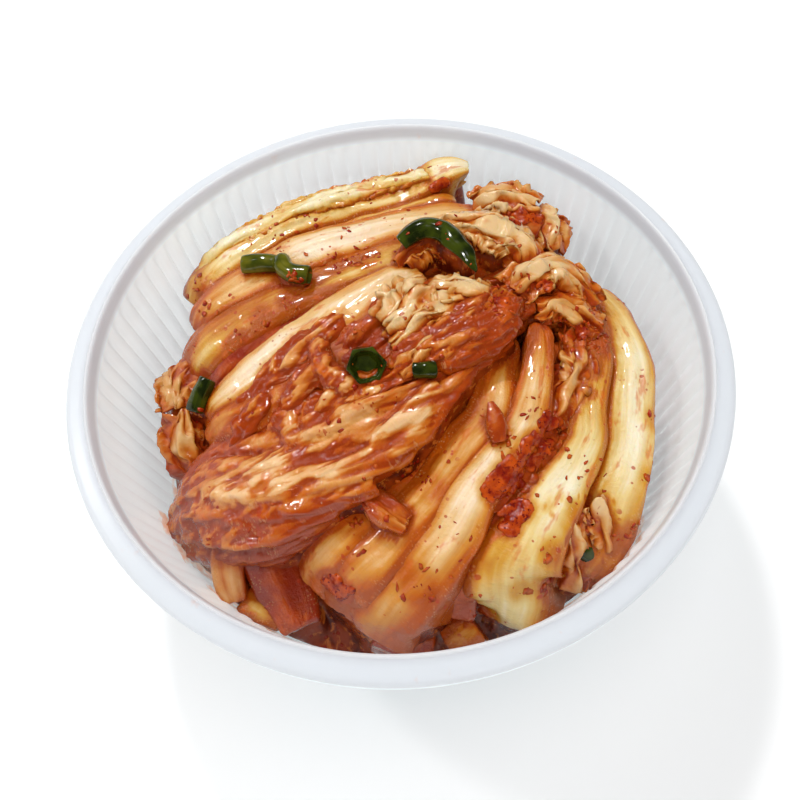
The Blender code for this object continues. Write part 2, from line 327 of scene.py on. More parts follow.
def sauce_group():
    """Where sauce, chilli specks and wet drops lie on a piece; pale dots on the drops are
    painted glints.

    Grain is the piece's own straight coordinates, Shade its closed-in places, Edge
    its shoulders and Amount how saucy it is. Sauce gathers more in closed-in places,
    partly as painted shade.
    """
    tree = bpy.data.node_groups.new("sauce film", "ShaderNodeTree")
    for name, kind in (
        ("Grain", "NodeSocketVector"), ("Shade", "NodeSocketFloat"),
        ("Edge", "NodeSocketFloat"), ("Amount", "NodeSocketFloat"),
    ):
        tree.interface.new_socket(name, in_out="INPUT", socket_type=kind)
    for name in ("Sauce", "Dabs", "Specks", "BeadGlints", "Height"):
        tree.interface.new_socket(name, in_out="OUTPUT", socket_type="NodeSocketFloat")
    nodes = Nodes(tree)
    given = tree.nodes.new("NodeGroupInput")
    grain, shade, edge, amount = given.outputs[:4]
    drawn = nodes.vector("MULTIPLY", grain, (0.35, 1.0, 1.0))
    streaks = nodes.noise(drawn, 260.0, 3.0, 0.6)
    patches = nodes.noise(grain, 95.0, 3.0, 0.6)
    fine = nodes.noise(grain, 900.0, 4.0, 0.65)
    lie = nodes.math("ADD", nodes.math("MULTIPLY", streaks, 0.4), nodes.math("MULTIPLY", patches, 0.6))
    # Sauce gathers thicker where the piece is closed in: partly pooled sauce, partly painted shade.
    lie = nodes.math("MULTIPLY_ADD", shade, 0.45, lie)
    lie = nodes.math("MULTIPLY_ADD", nodes.math("SUBTRACT", amount, 0.5), 0.55, lie)
    lie = nodes.math("MULTIPLY_ADD", nodes.math("SUBTRACT", fine, 0.5), 0.3, lie)
    sauce = nodes.mask(lie, 0.56, 0.72)
    dabs = nodes.mask(nodes.noise(drawn, 330.0, 3.0, 0.65), 0.56, 0.66)
    cells = nodes.add("TexVoronoi", Vector=grain, Scale=620.0)
    cell_size = nodes.math("MULTIPLY", nodes.add("SeparateColor", Color=cells.outputs["Color"]).outputs[0], 0.3)
    specks = nodes.mask(nodes.math("SUBTRACT", cells.outputs["Distance"], cell_size), 0.02, -0.06)
    chosen = nodes.mask(nodes.noise(grain, 170.0, 1.0, 0.5), 0.5, 0.58)
    specks = nodes.math("MULTIPLY", specks, chosen)
    # Wet drops at the shoulders: small bumps, and pale dots in the colour that are painted glints.
    wet = nodes.add("TexVoronoi", Vector=grain, Scale=1900.0)
    bead_glints = nodes.mask(wet.outputs["Distance"], 0.42, 0.2)
    wettest = nodes.math("MULTIPLY", nodes.mask(edge, 0.35, 0.85), nodes.mask(nodes.noise(grain, 240.0, 2.0, 0.5), 0.42, 0.6))
    wettest = nodes.math("MULTIPLY", wettest, nodes.mask(edge, 1.6, 1.15))
    bead_glints = nodes.math("MULTIPLY", bead_glints, wettest)
    height = nodes.math("MULTIPLY_ADD", sauce, 0.5, nodes.math("MULTIPLY", fine, 1.6))
    height = nodes.math("MULTIPLY_ADD", bead_glints, 0.4, height)
    height = nodes.math("MULTIPLY_ADD", streaks, 1.2, height)
    out = tree.nodes.new("NodeGroupOutput")
    for number, value in enumerate((sauce, dabs, specks, bead_glints, height)):
        tree.links.new(value, out.inputs[number])
    return tree


SAUCE = sauce_group()


def cabbage(name, ramp, by_edge=0.42, by_valley=0.0, by_shade=0.5, by_contact_shade=0.25, fibre=900.0, gloss=0.22,
            thin=0.35, dab=0.6, coat=0.3, patchy=1.0):
    """Wet cabbage, from pale flesh to dark sauce as it soaks.

    It darkens at its shoulders and down its sides (sauce stain and painted shade), in its
    valleys (pooled sauce and painted shade), and wherever it is closed in or touches
    another piece (painted shade).
    """
    made, nodes, shader = new_material(name)
    grain = nodes.add("Attribute", {"attribute_name": "grain"}).outputs["Vector"]
    shade, edge, fold, contact_shade, soaked = [
        nodes.add("Attribute", {"attribute_name": attribute}).outputs["Fac"]
        for attribute in ("shade", "edge", "fold", "contact_shade", "soaked")
    ]
    group = nodes.add("Group")
    group.node_tree = SAUCE
    for socket, value in (("Grain", grain), ("Shade", shade), ("Edge", edge), ("Amount", soaked)):
        nodes.feed(group, socket, value)
    fibres = nodes.noise(nodes.vector("MULTIPLY", grain, (0.06, 1.0, 1.0)), fibre, 2.0, 0.55)
    clouds = nodes.noise(nodes.vector("MULTIPLY", grain, (0.4, 1.0, 1.0)), 150.0, 3.0, 0.6)
    broad = nodes.noise(nodes.vector("MULTIPLY", grain, (0.6, 1.0, 1.0)), 50.0, 2.0, 0.5)
    # darkening: sauce soaked in, plus painted shade at the shoulders and sides, in closed-in places, where pieces touch
    # and in valleys.
    darkening = nodes.math("MULTIPLY_ADD", nodes.mask(edge, 0.25, 1.1), by_edge, nodes.math("SUBTRACT", soaked, 0.02))
    darkening = nodes.math("MULTIPLY_ADD", shade, by_shade, darkening)
    darkening = nodes.math("MULTIPLY_ADD", nodes.mask(contact_shade, 0.0, 1.0), by_contact_shade, darkening)
    darkening = nodes.math("MULTIPLY_ADD", nodes.mask(fold, 0.62, 0.2), by_valley, darkening)
    darkening = nodes.math("MULTIPLY_ADD", nodes.math("SUBTRACT", clouds, 0.5), 0.8 * patchy, darkening)
    darkening = nodes.math("MULTIPLY_ADD", nodes.math("SUBTRACT", broad, 0.5), 0.7 * patchy, darkening)
    darkening = nodes.math("MULTIPLY_ADD", nodes.math("SUBTRACT", fibres, 0.5), 0.3, darkening)
    # Only deeply closed-in places (painted shade) or very saucy pieces reach the darkest stops.
    darkest = nodes.math("MULTIPLY_ADD", nodes.mask(shade, 0.55, 0.95), 0.26, 0.7)
    darkest = nodes.math("MAXIMUM", darkest, soaked)
    stops = nodes.add("ValToRGB", Fac=nodes.math("MINIMUM", darkening, darkest))
    elements = stops.color_ramp.elements
    while len(elements) < len(ramp):
        elements.new(0.5)
    for element, (place, colour) in zip(elements, ramp):
        element.position = place
        element.color = tint(*colour)
    sauce_tone = nodes.mix(nodes.mask(clouds, 0.4, 0.6), tint(142, 38, 3), tint(186, 76, 8))
    colour = nodes.mix(nodes.math("MULTIPLY", group.outputs["Dabs"], dab), stops.outputs[0], tint(198, 92, 12))
    colour = nodes.mix(nodes.math("MULTIPLY", group.outputs["Sauce"], 0.8), colour, sauce_tone)
    colour = nodes.mix(nodes.math("MULTIPLY", group.outputs["Specks"], 0.75), colour, tint(168, 48, 10))
    # Pale dots on the wet drops: painted glints.
    colour = nodes.mix(nodes.math("MULTIPLY", group.outputs["BeadGlints"], 0.3), colour, tint(226, 172, 110))
    nodes.feed(shader, "Base Color", colour)
    nodes.feed(shader, "Roughness", nodes.math("MULTIPLY_ADD", broad, 0.26, gloss - 0.14))
    height = nodes.math("MULTIPLY_ADD", fibres, 0.8, group.outputs["Height"])
    bump = nodes.add("Bump", Strength=0.7, Distance=0.00033, Height=height)
    nodes.feed(shader, "Normal", bump.outputs[0])
    constants(
        shader, Subsurface_Weight=thin, Subsurface_Scale=0.002, IOR=1.4, Specular_IOR_Level=0.6,
        Coat_Weight=coat, Coat_Roughness=0.06,
    )
    shader.inputs["Subsurface Radius"].default_value = (1.0, 0.45, 0.15)
    return made


# Ramps from pale flesh to dark sauce; the darkening that picks a stop is partly sauce and partly painted shade.
RIB_COLOURS = (
    (0.0, (236, 214, 184)), (0.2, (220, 180, 122)), (0.4, (202, 136, 52)), (0.6, (182, 88, 10)),
    (0.8, (146, 50, 4)), (0.92, (106, 26, 2)), (1.0, (66, 10, 1)),
)
OUTER_COLOURS = (
    (0.0, (230, 220, 190)), (0.2, (219, 192, 128)), (0.4, (202, 148, 52)), (0.6, (180, 96, 10)),
    (0.8, (146, 52, 4)), (0.92, (106, 26, 2)), (1.0, (66, 10, 1)),
)
LEAF_COLOURS = (
    (0.0, (224, 182, 132)), (0.2, (208, 144, 76)), (0.4, (190, 102, 26)), (0.6, (168, 66, 8)),
    (0.8, (136, 38, 3)), (0.92, (100, 20, 2)), (1.0, (62, 8, 1)),
)
RED_COLOURS = (
    (0.0, (216, 152, 98)), (0.2, (202, 118, 56)), (0.4, (182, 80, 20)), (0.6, (160, 50, 8)),
    (0.8, (128, 28, 3)), (0.92, (94, 14, 2)), (1.0, (60, 6, 1)),
)
rib_flesh = cabbage("rib flesh", RIB_COLOURS, by_valley=0.2, patchy=0.6)
outer_flesh = cabbage("outer rib flesh", OUTER_COLOURS, by_valley=0.2, patchy=0.6)
leaf_flesh = cabbage("leaf flesh", LEAF_COLOURS, by_edge=0.4, by_valley=0.5, gloss=0.17, coat=0.6)
ruffle_flesh = cabbage("ruffle flesh", LEAF_COLOURS, by_edge=0.1, by_valley=0.3, by_contact_shade=0.1, by_shade=0.7, gloss=0.17, coat=0.5)
red_flesh = cabbage("red leaf flesh", RED_COLOURS, by_edge=0.2, by_valley=0.4, gloss=0.17, coat=0.6)


def heap_material():
    """Thick sauce with shreds and seeds in it, which lies between the pieces."""
    made, nodes, shader = new_material("saucy heap")
    place = nodes.add("TexCoord").outputs["Object"]
    lumps = nodes.noise(place, 170.0, 3.0, 0.6)
    shreds = nodes.noise(nodes.vector("MULTIPLY", place, (1.0, 0.35, 1.0)), 640.0, 3.0, 0.6)
    colour = nodes.mix(nodes.mask(lumps, 0.36, 0.62), tint(84, 20, 3), tint(150, 56, 10))
    colour = nodes.mix(nodes.mask(shreds, 0.55, 0.66), colour, tint(186, 96, 30))
    cells = nodes.add("TexVoronoi", Vector=place, Scale=520.0)
    seeds = nodes.mask(cells.outputs["Distance"], 0.24, 0.16)
    colour = nodes.mix(nodes.math("MULTIPLY", seeds, 0.7), colour, tint(150, 24, 6))
    nodes.feed(shader, "Base Color", colour)
    height = nodes.math("ADD", lumps, nodes.math("MULTIPLY", nodes.math("ADD", shreds, seeds), 0.5))
    bump = nodes.add("Bump", Strength=0.7, Distance=0.0006, Height=height)
    nodes.feed(shader, "Normal", bump.outputs[0])
    constants(shader, Roughness=0.24, Specular_IOR_Level=0.35, Subsurface_Weight=0.15, Subsurface_Scale=0.001)
    return made


saucy_heap = heap_material()


def plastic_material():
    made, nodes, shader = new_material("milky plastic")
    place = nodes.add("TexCoord").outputs["Object"]
    grain = nodes.noise(place, 900.0, 2.0, 0.5)
    # Orange where food lies close to the wall: brine stain, and painted orange reflection of the food.
    juice_and_bounce = nodes.add("Attribute", {"attribute_name": "juice_and_bounce"}).outputs["Fac"]
    blots = nodes.noise(place, 260.0, 3.0, 0.6)
    stain_and_bounce = nodes.mask(nodes.math("ADD", juice_and_bounce, nodes.math("MULTIPLY", nodes.math("SUBTRACT", blots, 0.5), 1.6)), 0.25, 0.85)
    height = nodes.add("SeparateXYZ", Vector=place).outputs["Z"]
    # Walls below the rim are painted paler and the rim greyer: painted light, evening out the bright lit rim and the
    # shaded walls.
    colour = nodes.mix(nodes.mask(height, 0.0475, 0.0495), tint(232, 244, 249), tint(204, 207, 212))
    colour = nodes.mix(stain_and_bounce, colour, tint(222, 138, 62))
    nodes.feed(shader, "Base Color", colour)
    nodes.feed(shader, "Roughness", nodes.math("MULTIPLY_ADD", grain, 0.1, 0.26))
    # The walls below the rim glow faintly: painted light standing in for light that passes through the thin plastic.
    nodes.feed(shader, "Emission Color", nodes.mix(nodes.mask(height, 0.0475, 0.0495), tint(236, 251, 255), (0, 0, 0, 1)))
    constants(shader, Subsurface_Weight=1.0, Subsurface_Scale=0.004, IOR=1.49, Emission_Strength=0.15)
    shader.inputs["Subsurface Radius"].default_value = (1.0, 1.0, 1.0)
    return made


milky_plastic = plastic_material()


def scallion_material(name, outer, inner):
    made, nodes, shader = new_material(name)
    grain = nodes.add("Attribute", {"attribute_name": "grain"}).outputs["Vector"]
    lines = nodes.noise(nodes.vector("MULTIPLY", grain, (0.08, 1.0, 1.0)), 1500.0, 2.0, 0.5)
    patches = nodes.noise(grain, 260.0, 2.0, 0.5)
    colour = nodes.mix(nodes.mask(patches, 0.35, 0.7), outer, inner)
    colour = nodes.mix(nodes.math("MULTIPLY", nodes.mask(lines, 0.5, 0.7), 0.5), colour, inner)
    nodes.feed(shader, "Base Color", colour)
    bump = nodes.add("Bump", Strength=0.3, Distance=0.0002, Height=lines)
    nodes.feed(shader, "Normal", bump.outputs[0])
    constants(shader, Roughness=0.14)
    return made


dark_scallion = scallion_material("dark scallion", tint(20, 28, 3), tint(56, 66, 8))
olive_scallion = scallion_material("olive scallion", tint(98, 94, 18), tint(50, 58, 8))

# ---------------------------------------------------------------- the bowl

RIM_RADIUS = cad_high.x
FLUTES = 96
STEPS_PER_FLUTE = 6
GROOVE_DEPTH = 0.6 * MM
FLUTE_PHASE = -0.268
WALL_TAPER = 0.12


def wall_radius(height):
    """Inner radius of the straight wall, in metres, at a height in metres."""
    return 59.8 * MM - WALL_TAPER * (48 * MM - height)


def bowl_profile():
    """Section of the bowl from the middle of the floor over the rim to the base."""
    wall = 0.7
    inner = [(0, 1.0), (20, 1.0), (40, 1.0)]
    corner = 9.0
    foot = wall_radius(10 * MM) / MM - corner
    inner += [(foot + corner * sin(a), 1 + corner * (1 - cos(a))) for a in [pi / 2 * k / 6 for k in range(7)]]
    heights = [14, 18, 22, 25, 28, 31, 34, 37, 40, 43, 46, 47.3, 48]
    inner += [(wall_radius(h * MM) / MM, h) for h in heights]
    rim = [
        (59.95, 48.8), (60.15, 50.2), (60.35, 51.4), (60.55, 51.85), (60.78, 52.0), (60.98, 51.85),
        (61.15, 51.5), (61.5, 51.35), (62.4, 51.15), (63.6, 50.9), (64.3, 50.75), (64.75, 50.5),
        (65.0, 50.0), (65.0, 48.6), (64.95, 47.2), (64.6, 46.9), (64.3, 47.2), (64.25, 49.0), (63.9, 49.9),
        (62.5, 50.1), (61.4, 50.1), (60.95, 49.6),
    ]
    outer = [(r + wall, h) for r, h in reversed(inner[10:])]
    low = corner + wall
    outer += [(foot + low * sin(a), 0.3 + 9.7 * (1 - cos(a))) for a in [pi / 2 * k / 6 for k in range(6, -1, -1)]]
    return inner + rim + outer + [(38, 0.0), (20, 0.0), (0, 0.0)]


def make_bowl():
    points = [(r * MM, 0.0, z * MM) for r, z in bowl_profile()]
    mesh = bpy.data.meshes.new("bowl_section")
    mesh.from_pydata(points, [(n, n + 1) for n in range(len(points) - 1)], [])
    bowl = bpy.data.objects.new("fluted_bowl", mesh)
    bpy.context.collection.objects.link(bowl)
    edit(bowl)
    bpy.ops.mesh.select_all(action="SELECT")
    bpy.ops.mesh.spin(
        steps=FLUTES * STEPS_PER_FLUTE, angle=2 * pi, center=(0, 0, 0), axis=(0, 0, 1),
    )
    bpy.ops.mesh.select_all(action="SELECT")
    bpy.ops.mesh.remove_doubles(threshold=0.00001)
    bpy.ops.mesh.select_all(action="SELECT")
    bpy.ops.mesh.normals_make_consistent(inside=False)
    leave()
    juice_and_bounce = mesh.attributes.new("juice_and_bounce", "FLOAT", "POINT")
    for vertex in mesh.vertices:
        place = vertex.co
        radius = (place.x ** 2 + place.y ** 2) ** 0.5
        if radius < 50 * MM:
            continue
        turn = atan2(place.y, place.x)
        step = ((turn - FLUTE_PHASE) * FLUTES / (2 * pi)) % 1.0
        off = min(step, 1 - step) * STEPS_PER_FLUTE
        fade = min(1.0, max(0.0, (48.1 * MM - place.z) / (1.6 * MM))) * min(1.0, max(0.0, (place.z - 4 * MM) / (5 * MM)))
        if place.z < 48.2 * MM and radius < 61.6 * MM:
            share = max(0.0, 1 - off) if off < 1 else 0.0
            share = share + (0.35 if 0.5 < off < 1.5 else 0.0)
            push = GROOVE_DEPTH * fade * min(1.0, share)
            place.x *= 1 + push / radius
            place.y *= 1 + push / radius
    take(bowl)
    bpy.ops.object.shade_smooth_by_angle(angle=radians(38))
    mesh.materials.append(milky_plastic)
    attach(bowl, "root")
    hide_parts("bowl")
    return bowl


bowl = make_bowl()

# ---------------------------------------------------------------- ribs and leaves


def block(name, length, breadth, depth, stations, across, rounding):
    """A straight block along X with its top at z = 0 and all its edges rounded."""
    let_go()
    bpy.ops.mesh.primitive_cube_add(size=1.0)
    piece = name_piece(name)
    edit(piece)
    bpy.ops.mesh.select_all(action="SELECT")
    bpy.ops.transform.resize(value=(length, breadth, depth))
    bpy.ops.transform.translate(value=(length / 2, 0, -depth / 2))
    pick(piece, lambda a, b: abs(a.x - b.x) > length / 2, "EDGE")
    bpy.ops.mesh.subdivide(number_cuts=stations)
    pick(piece, lambda a, b: abs(a.y - b.y) > breadth / 2, "EDGE")
    bpy.ops.mesh.subdivide(number_cuts=across)
    pick(piece, lambda a, b: abs(a.z - b.z) > depth / 2, "EDGE")
    bpy.ops.mesh.subdivide(number_cuts=3)
    leave()
    finish(piece, "BEVEL", width=rounding, segments=3, limit_method="ANGLE", profile=0.5)
    return piece


def cabbage_piece(name, bends, soaks, material, slot, nodes=(), depth=12.0, rounding=2.2, across=6,
                  folds=(), lumps=0.6, warp=1.5, roll=0.0, arch=0.2, tip=True):
    """A rib or leaf: a rounded block, folded along its length, bent and roughened.

    bends are (x, y, z, breadth) of the top's middle line, and soaks how saucy it is at
    each; folds are (kind, push, size, stretch) of the noise that folds it.
    """
    number = next(numbers)
    if tip:
        first, second = Vector(bends[0][:3]), Vector(bends[1][:3])
        end = first + (first - second).normalized() * bends[0][3] * 0.5 - Vector((0, 0, 1.5))
        bends = [(*end, bends[0][3] * 0.45)] + list(bends)
        soaks = [soaks[0]] + list(soaks)
    places = [bend[:3] for bend in bends]
    breadths = [bend[3] for bend in bends]
    mean = sum(breadths) / len(breadths)
    length = line_length(places)
    stations = max(14, int(length / (1.6 * MM)))
    piece = block(name, length, mean * MM, depth * MM, stations, across, rounding * MM)
    subdivide(piece, 1)
    before = offsets(piece)
    for vertex in piece.data.vertices:
        vertex.co.z -= arch * mean * MM * abs(2 * vertex.co.y / (mean * MM)) ** 2.3
    arched = offsets(piece)
    pushed = 0.0
    for layer, (kind, push, size, stretch) in enumerate(folds):
        wrinkle(piece, push * MM, size * MM, stretch, number + 7 * layer, kind=kind)
        pushed += abs(push) * MM
    keep_grain(piece, number, mean * MM, depth * MM, before, pushed, places, soaks)
    for vertex, place in zip(piece.data.vertices, arched):
        raised = (vertex.co - place).dot(vertex.normal) / max(pushed, 1e-6)
        piece.data.attributes["fold"].data[vertex.index].value = 0.5 + raised
    bend(piece, places, [breadth / mean for breadth in breadths], [roll] * len(bends))
    roughen(piece, warp * MM, 12 * MM, "RGB_TO_XYZ")
    roughen(piece, lumps * MM, 3.5 * MM, depth=2)
    piece.data.materials.append(material)
    piece.data.shade_smooth()
    if slot:
        add_food(piece, slot, *nodes)
    return piece


def blend_near(tree, place, values, how_many):
    """A value blended from those of the nearest points."""
    found = tree.find_n(place, how_many)
    shares = [1 / (distance + 0.05 * MM) for spot, source, distance in found]
    total = Vector((0, 0, 0))
    for (spot, source, distance), share in zip(found, shares):
        total += values[source] * share
    return total / sum(shares)


def crease(piece, push, size, stretch, turn):
    """Fine creases that run one way over a finished leaf; their valleys are marked as folds."""
    before = offsets(piece)
    bpy.ops.object.empty_add(rotation=(0, 0, radians(turn)))
    mark = bpy.context.object
    mark.scale = (size * stretch * MM, size * MM, size * MM)
    bpy.context.view_layer.update()
    finish(
        piece, "DISPLACE", texture=noise_texture("creases", "CLOUDS", 1.0, 2), texture_coords="OBJECT",
        texture_coords_object=mark, strength=push * MM, mid_level=0.5,
    )
    bpy.data.objects.remove(mark)
    fold = piece.data.attributes["fold"].data
    for vertex, place in zip(piece.data.vertices, before):
        fold[vertex.index].value += 1.6 * (vertex.co - place).dot(vertex.normal) / (push * MM)


def melt(name, pieces, rounds=3, voxel=0.42):
    """Melts folds and the leaf under them into one skin, which keeps their patterns."""
    let_go()
    for piece in pieces:
        piece.select_set(True)
    skin = pieces[0]
    under = len(skin.data.vertices)
    bpy.context.view_layer.objects.active = skin
    bpy.ops.object.join()
    skin.name = skin.data.name = name
    mesh = skin.data
    patterns = KDTree(len(mesh.vertices))
    grains = KDTree(under)
    for vertex in mesh.vertices:
        patterns.insert(vertex.co, vertex.index)
        if vertex.index < under:
            grains.insert(vertex.co, vertex.index)
    patterns.balance()
    grains.balance()
    grain = [item.vector.copy() for item in mesh.attributes["grain"].data]
    marks = {mark: [item.value for item in mesh.attributes[mark].data] for mark in ("edge", "fold", "soaked")}
    finish(skin, "REMESH", mode="VOXEL", voxel_size=voxel * MM, use_smooth_shade=True)
    finish(skin, "SMOOTH", factor=0.5, iterations=rounds)
    mesh = skin.data
    kept = mesh.attributes.new("grain", "FLOAT_VECTOR", "POINT")
    for vertex in mesh.vertices:
        kept.data[vertex.index].vector = blend_near(grains, vertex.co, grain, 4)
    near = [patterns.find_n(vertex.co, 6) for vertex in mesh.vertices]
    for mark, values in marks.items():
        kept = mesh.attributes.new(mark, "FLOAT", "POINT")
        for number, found in enumerate(near):
            shares = [1 / (distance + 0.1 * MM) for place, source, distance in found]
            blended = sum(values[source] * share for (place, source, distance), share in zip(found, shares))
            kept.data[number].value = blended / sum(shares)
    mesh.shade_smooth()
    return skin


RIB_FOLDS = (("CLOUDS", 1.2, 7.0, 6.0), ("CLOUDS", 0.9, 2.8, 14.0), ("CLOUDS", 0.4, 1.2, 10.0))

RIBS = [
    ("right_rib_1", rib_flesh,
     [(12, -3, 44, 7), (9, -11.1, 44, 7), (3.2, -20.4, 43.5, 8), (-2.5, -27, 42, 8), (-9.7, -33.6, 40, 9),
      (-18, -38.4, 36, 10.5), (-22, -41.5, 29, 11)],
     [0.6, 0.5, 0.42, 0.3, 0.2, 0.3, 0.5]),
    ("right_rib_2", rib_flesh,
     [(22, 0, 47, 6.5), (20.4, -6.6, 48, 7.8), (16.7, -16.7, 47.8, 9), (10.7, -22.7, 46.5, 9.2), (5, -29.3, 44.5, 9.6),
      (-4.3, -37.3, 41.5, 11.5), (-13.4, -43.6, 36.5, 14), (-17, -47.5, 28, 15)],
     [0.5, 0.4, 0.22, 0.16, 0.2, 0.22, 0.42, 0.6]),
    ("right_rib_3", rib_flesh,
     [(28.9, 0.5, 49.5, 5), (28.7, -2.4, 50, 6.6), (26.8, -12.1, 49.8, 7), (23.8, -18.4, 49, 8.4), (17.2, -26.2, 47.5, 8.6),
      (11.5, -31.9, 45.5, 9.2), (6.5, -38.2, 43, 12), (-0.2, -44.5, 40, 15), (-7.1, -49.5, 35.5, 17), (-10, -52.5, 27, 17)],
     [0.6, 0.52, 0.22, 0.04, 0.02, 0.06, 0.12, 0.2, 0.36, 0.6]),
    ("right_rib_4", leaf_flesh,
     [(38, 3, 46, 9), (36.5, -5.2, 46.5, 9), (31.2, -15.6, 45.5, 8), (26.1, -22.2, 44, 9), (19.3, -29.4, 42.5, 9),
      (14.5, -35.8, 40.5, 9), (6, -45, 35, 10), (3.3, -49.4, 27, 12)],
     [0.45, 0.45, 0.45, 0.5, 0.55, 0.55, 0.6, 0.65]),
    ("right_rib_5", outer_flesh,
     [(41.5, 3, 46, 6), (40.5, -4, 46.8, 6), (36, -16.5, 46.8, 7), (33.1, -24.7, 46.3, 8.6), (27.7, -31.9, 45, 11.6),
      (21.9, -38.9, 43, 14), (17.3, -45.1, 40, 18.5), (16.8, -50.5, 33, 18), (16, -52.5, 25, 17)],
     [0.5, 0.42, 0.16, 0.08, 0.08, 0.14, 0.16, 0.2, 0.4]),
    ("right_rib_6", outer_flesh,
     [(44, 12, 43, 8), (46.5, 5, 44.5, 9), (46.7, -6.7, 45.3, 10), (44.4, -16.4, 45, 10.5), (41.9, -24.8, 44, 11),
      (38.4, -32.3, 43, 12), (35, -38.4, 40.5, 13), (30.8, -43.9, 37, 12), (29, -47, 30, 11)],
     [0.4, 0.28, 0.02, 0.0, 0.02, 0.1, 0.2, 0.35, 0.5]),
    ("left_rib_1", outer_flesh,
     [(18.6, 49.5, 48.5, 6.5), (14.2, 49.2, 48, 9.5), (5.1, 47.2, 45, 9.8), (-6.7, 45.2, 43.7, 9.6), (-18.5, 42.3, 43.4, 9.4),
      (-28.9, 37, 43, 10), (-37.9, 31.9, 42, 11), (-43.8, 27, 40, 10), (-46.5, 24, 36, 9)],
     [0.0, 0.0, 0.05, 0.1, 0.12, 0.1, 0.14, 0.3, 0.45]),
    ("left_rib_2", rib_flesh,
     [(20.3, 35.3, 46, 10), (6.5, 34.6, 46.3, 12), (-6, 33.1, 46, 12.5), (-17.5, 30.4, 45.8, 12.5),
      (-26.7, 25.8, 45, 13), (-35.8, 22, 43.5, 11.5), (-42.1, 18.5, 41, 9), (-45.5, 16, 37, 8)],
     [0.45, 0.15, 0.04, 0.08, 0.16, 0.22, 0.35, 0.5]),
    ("left_rib_3", outer_flesh,
     [(3.1, 25.8, 46.5, 10), (-8.9, 22.3, 46.5, 10.5), (-18.6, 18.3, 46, 10.5), (-28.5, 14.9, 44.8, 12),
      (-37.1, 12.1, 42.3, 13.5), (-44.2, 8.3, 38.5, 13.5), (-47.5, 5.5, 33, 12)],
     [0.35, 0.35, 0.45, 0.45, 0.4, 0.4, 0.5]),
    ("left_rib_4", red_flesh,
     [(-14.2, 18, 45, 9), (-24.2, 12.5, 43.5, 10), (-33.2, 6.5, 41, 9.5), (-39.6, 2, 37.5, 8), (-43, 0, 33, 7)],
     [0.35, 0.45, 0.45, 0.4, 0.5]),
    ("left_rib_5", rib_flesh,
     [(2, 15.2, 49.8, 12.5), (-8.8, 9.5, 48.8, 13.5), (-19.4, 3.4, 47.2, 12.7), (-29, -1, 44.5, 11.2),
      (-37.4, -4.6, 41, 8.6), (-42, -6.5, 36, 8)],
     [0.05, 0.0, 0.0, 0.05, 0.2, 0.45]),
    ("left_rib_6", rib_flesh,
     [(-2, 3, 48.5, 8), (-8.2, -0.2, 48, 9), (-18.8, -4.4, 46.5, 11), (-29.3, -7.8, 43.5, 11), (-37.5, -9.2, 40, 10),
      (-42.5, -10.5, 34.5, 9)],
     [0.3, 0.3, 0.35, 0.42, 0.5, 0.6]),
    ("left_rib_7", leaf_flesh,
     [(-11, -4, 47.5, 8), (-19, -8.5, 45.5, 8), (-28, -12, 42, 8), (-38, -14, 36, 8)],
     [0.3, 0.35, 0.42, 0.5]),
]
for name, material, bends, soaks in RIBS:
    cabbage_piece(name + "_flesh", bends, soaks, material, "cabbage_rib", (name,), folds=RIB_FOLDS, rounding=2.6,
                  across=11, lumps=0.4, arch=0.13)


def line_at(bends, share):
    """Place on a line of bends at a share of its length."""
    places = [bend[:3] for bend in bends]
    whole = line_length(places)
    shares = [line_length(places[:count + 1]) / whole for count in range(len(places))]
    return Vector([between([place[axis] for place in places], shares, share) for axis in range(3)])


def inner_layer(number, one, other, start, stop, drop, breadth, darkening, material):
    """A thinner layer that shows in the groove between two ribs."""
    bends = []
    for step in range(8):
        share = start + (stop - start) * step / 7
        near, far = line_at(one, share), line_at(other, share)
        middle = (near + far) / 2
        bends.append((middle.x, middle.y, min(near.z, far.z) - drop, breadth))
    cabbage_piece(f"inner_layer_{number}", bends, [darkening - 0.06] * 8, material, "cabbage_rib", folds=RIB_FOLDS, depth=9,
                  rounding=1.6, across=8, lumps=0.5, warp=2.0, arch=0.2)


RIB_LINES = {name: bends for name, material, bends, soaks in RIBS}
LAYERS = [
    ("right_rib_1", "right_rib_2", 0.1, 0.95, 1.0, 4.5, 0.42, leaf_flesh),
    ("right_rib_2", "right_rib_3", 0.1, 0.95, 1.4, 4.5, 0.35, outer_flesh),
    ("right_rib_3", "right_rib_4", 0.05, 0.9, 1.0, 4.0, 0.45, outer_flesh),
    ("right_rib_4", "right_rib_5", 0.05, 0.85, 0.8, 4.0, 0.45, leaf_flesh),
    ("right_rib_5", "right_rib_6", 0.05, 0.9, 1.6, 4.5, 0.3, outer_flesh),
    ("left_rib_1", "left_rib_2", 0.05, 0.92, 1.2, 5.0, 0.35, outer_flesh),
    ("left_rib_2", "left_rib_3", 0.1, 0.95, 1.0, 5.0, 0.4, rib_flesh),
    ("left_rib_3", "left_rib_4", 0.05, 0.9, 0.8, 4.5, 0.5, red_flesh),
    ("left_rib_4", "left_rib_5", 0.05, 0.9, 1.5, 5.0, 0.4, leaf_flesh),
    ("left_rib_5", "left_rib_6", 0.1, 0.9, 1.2, 4.0, 0.38, leaf_flesh),
    ("left_rib_6", "left_rib_7", 0.1, 0.9, 0.8, 4.0, 0.4, leaf_flesh),
]
for number, (one, other, start, stop, drop, breadth, darkening, material) in enumerate(LAYERS):
    inner_layer(number + 1, RIB_LINES[one], RIB_LINES[other], start, stop, drop, breadth, darkening, material)

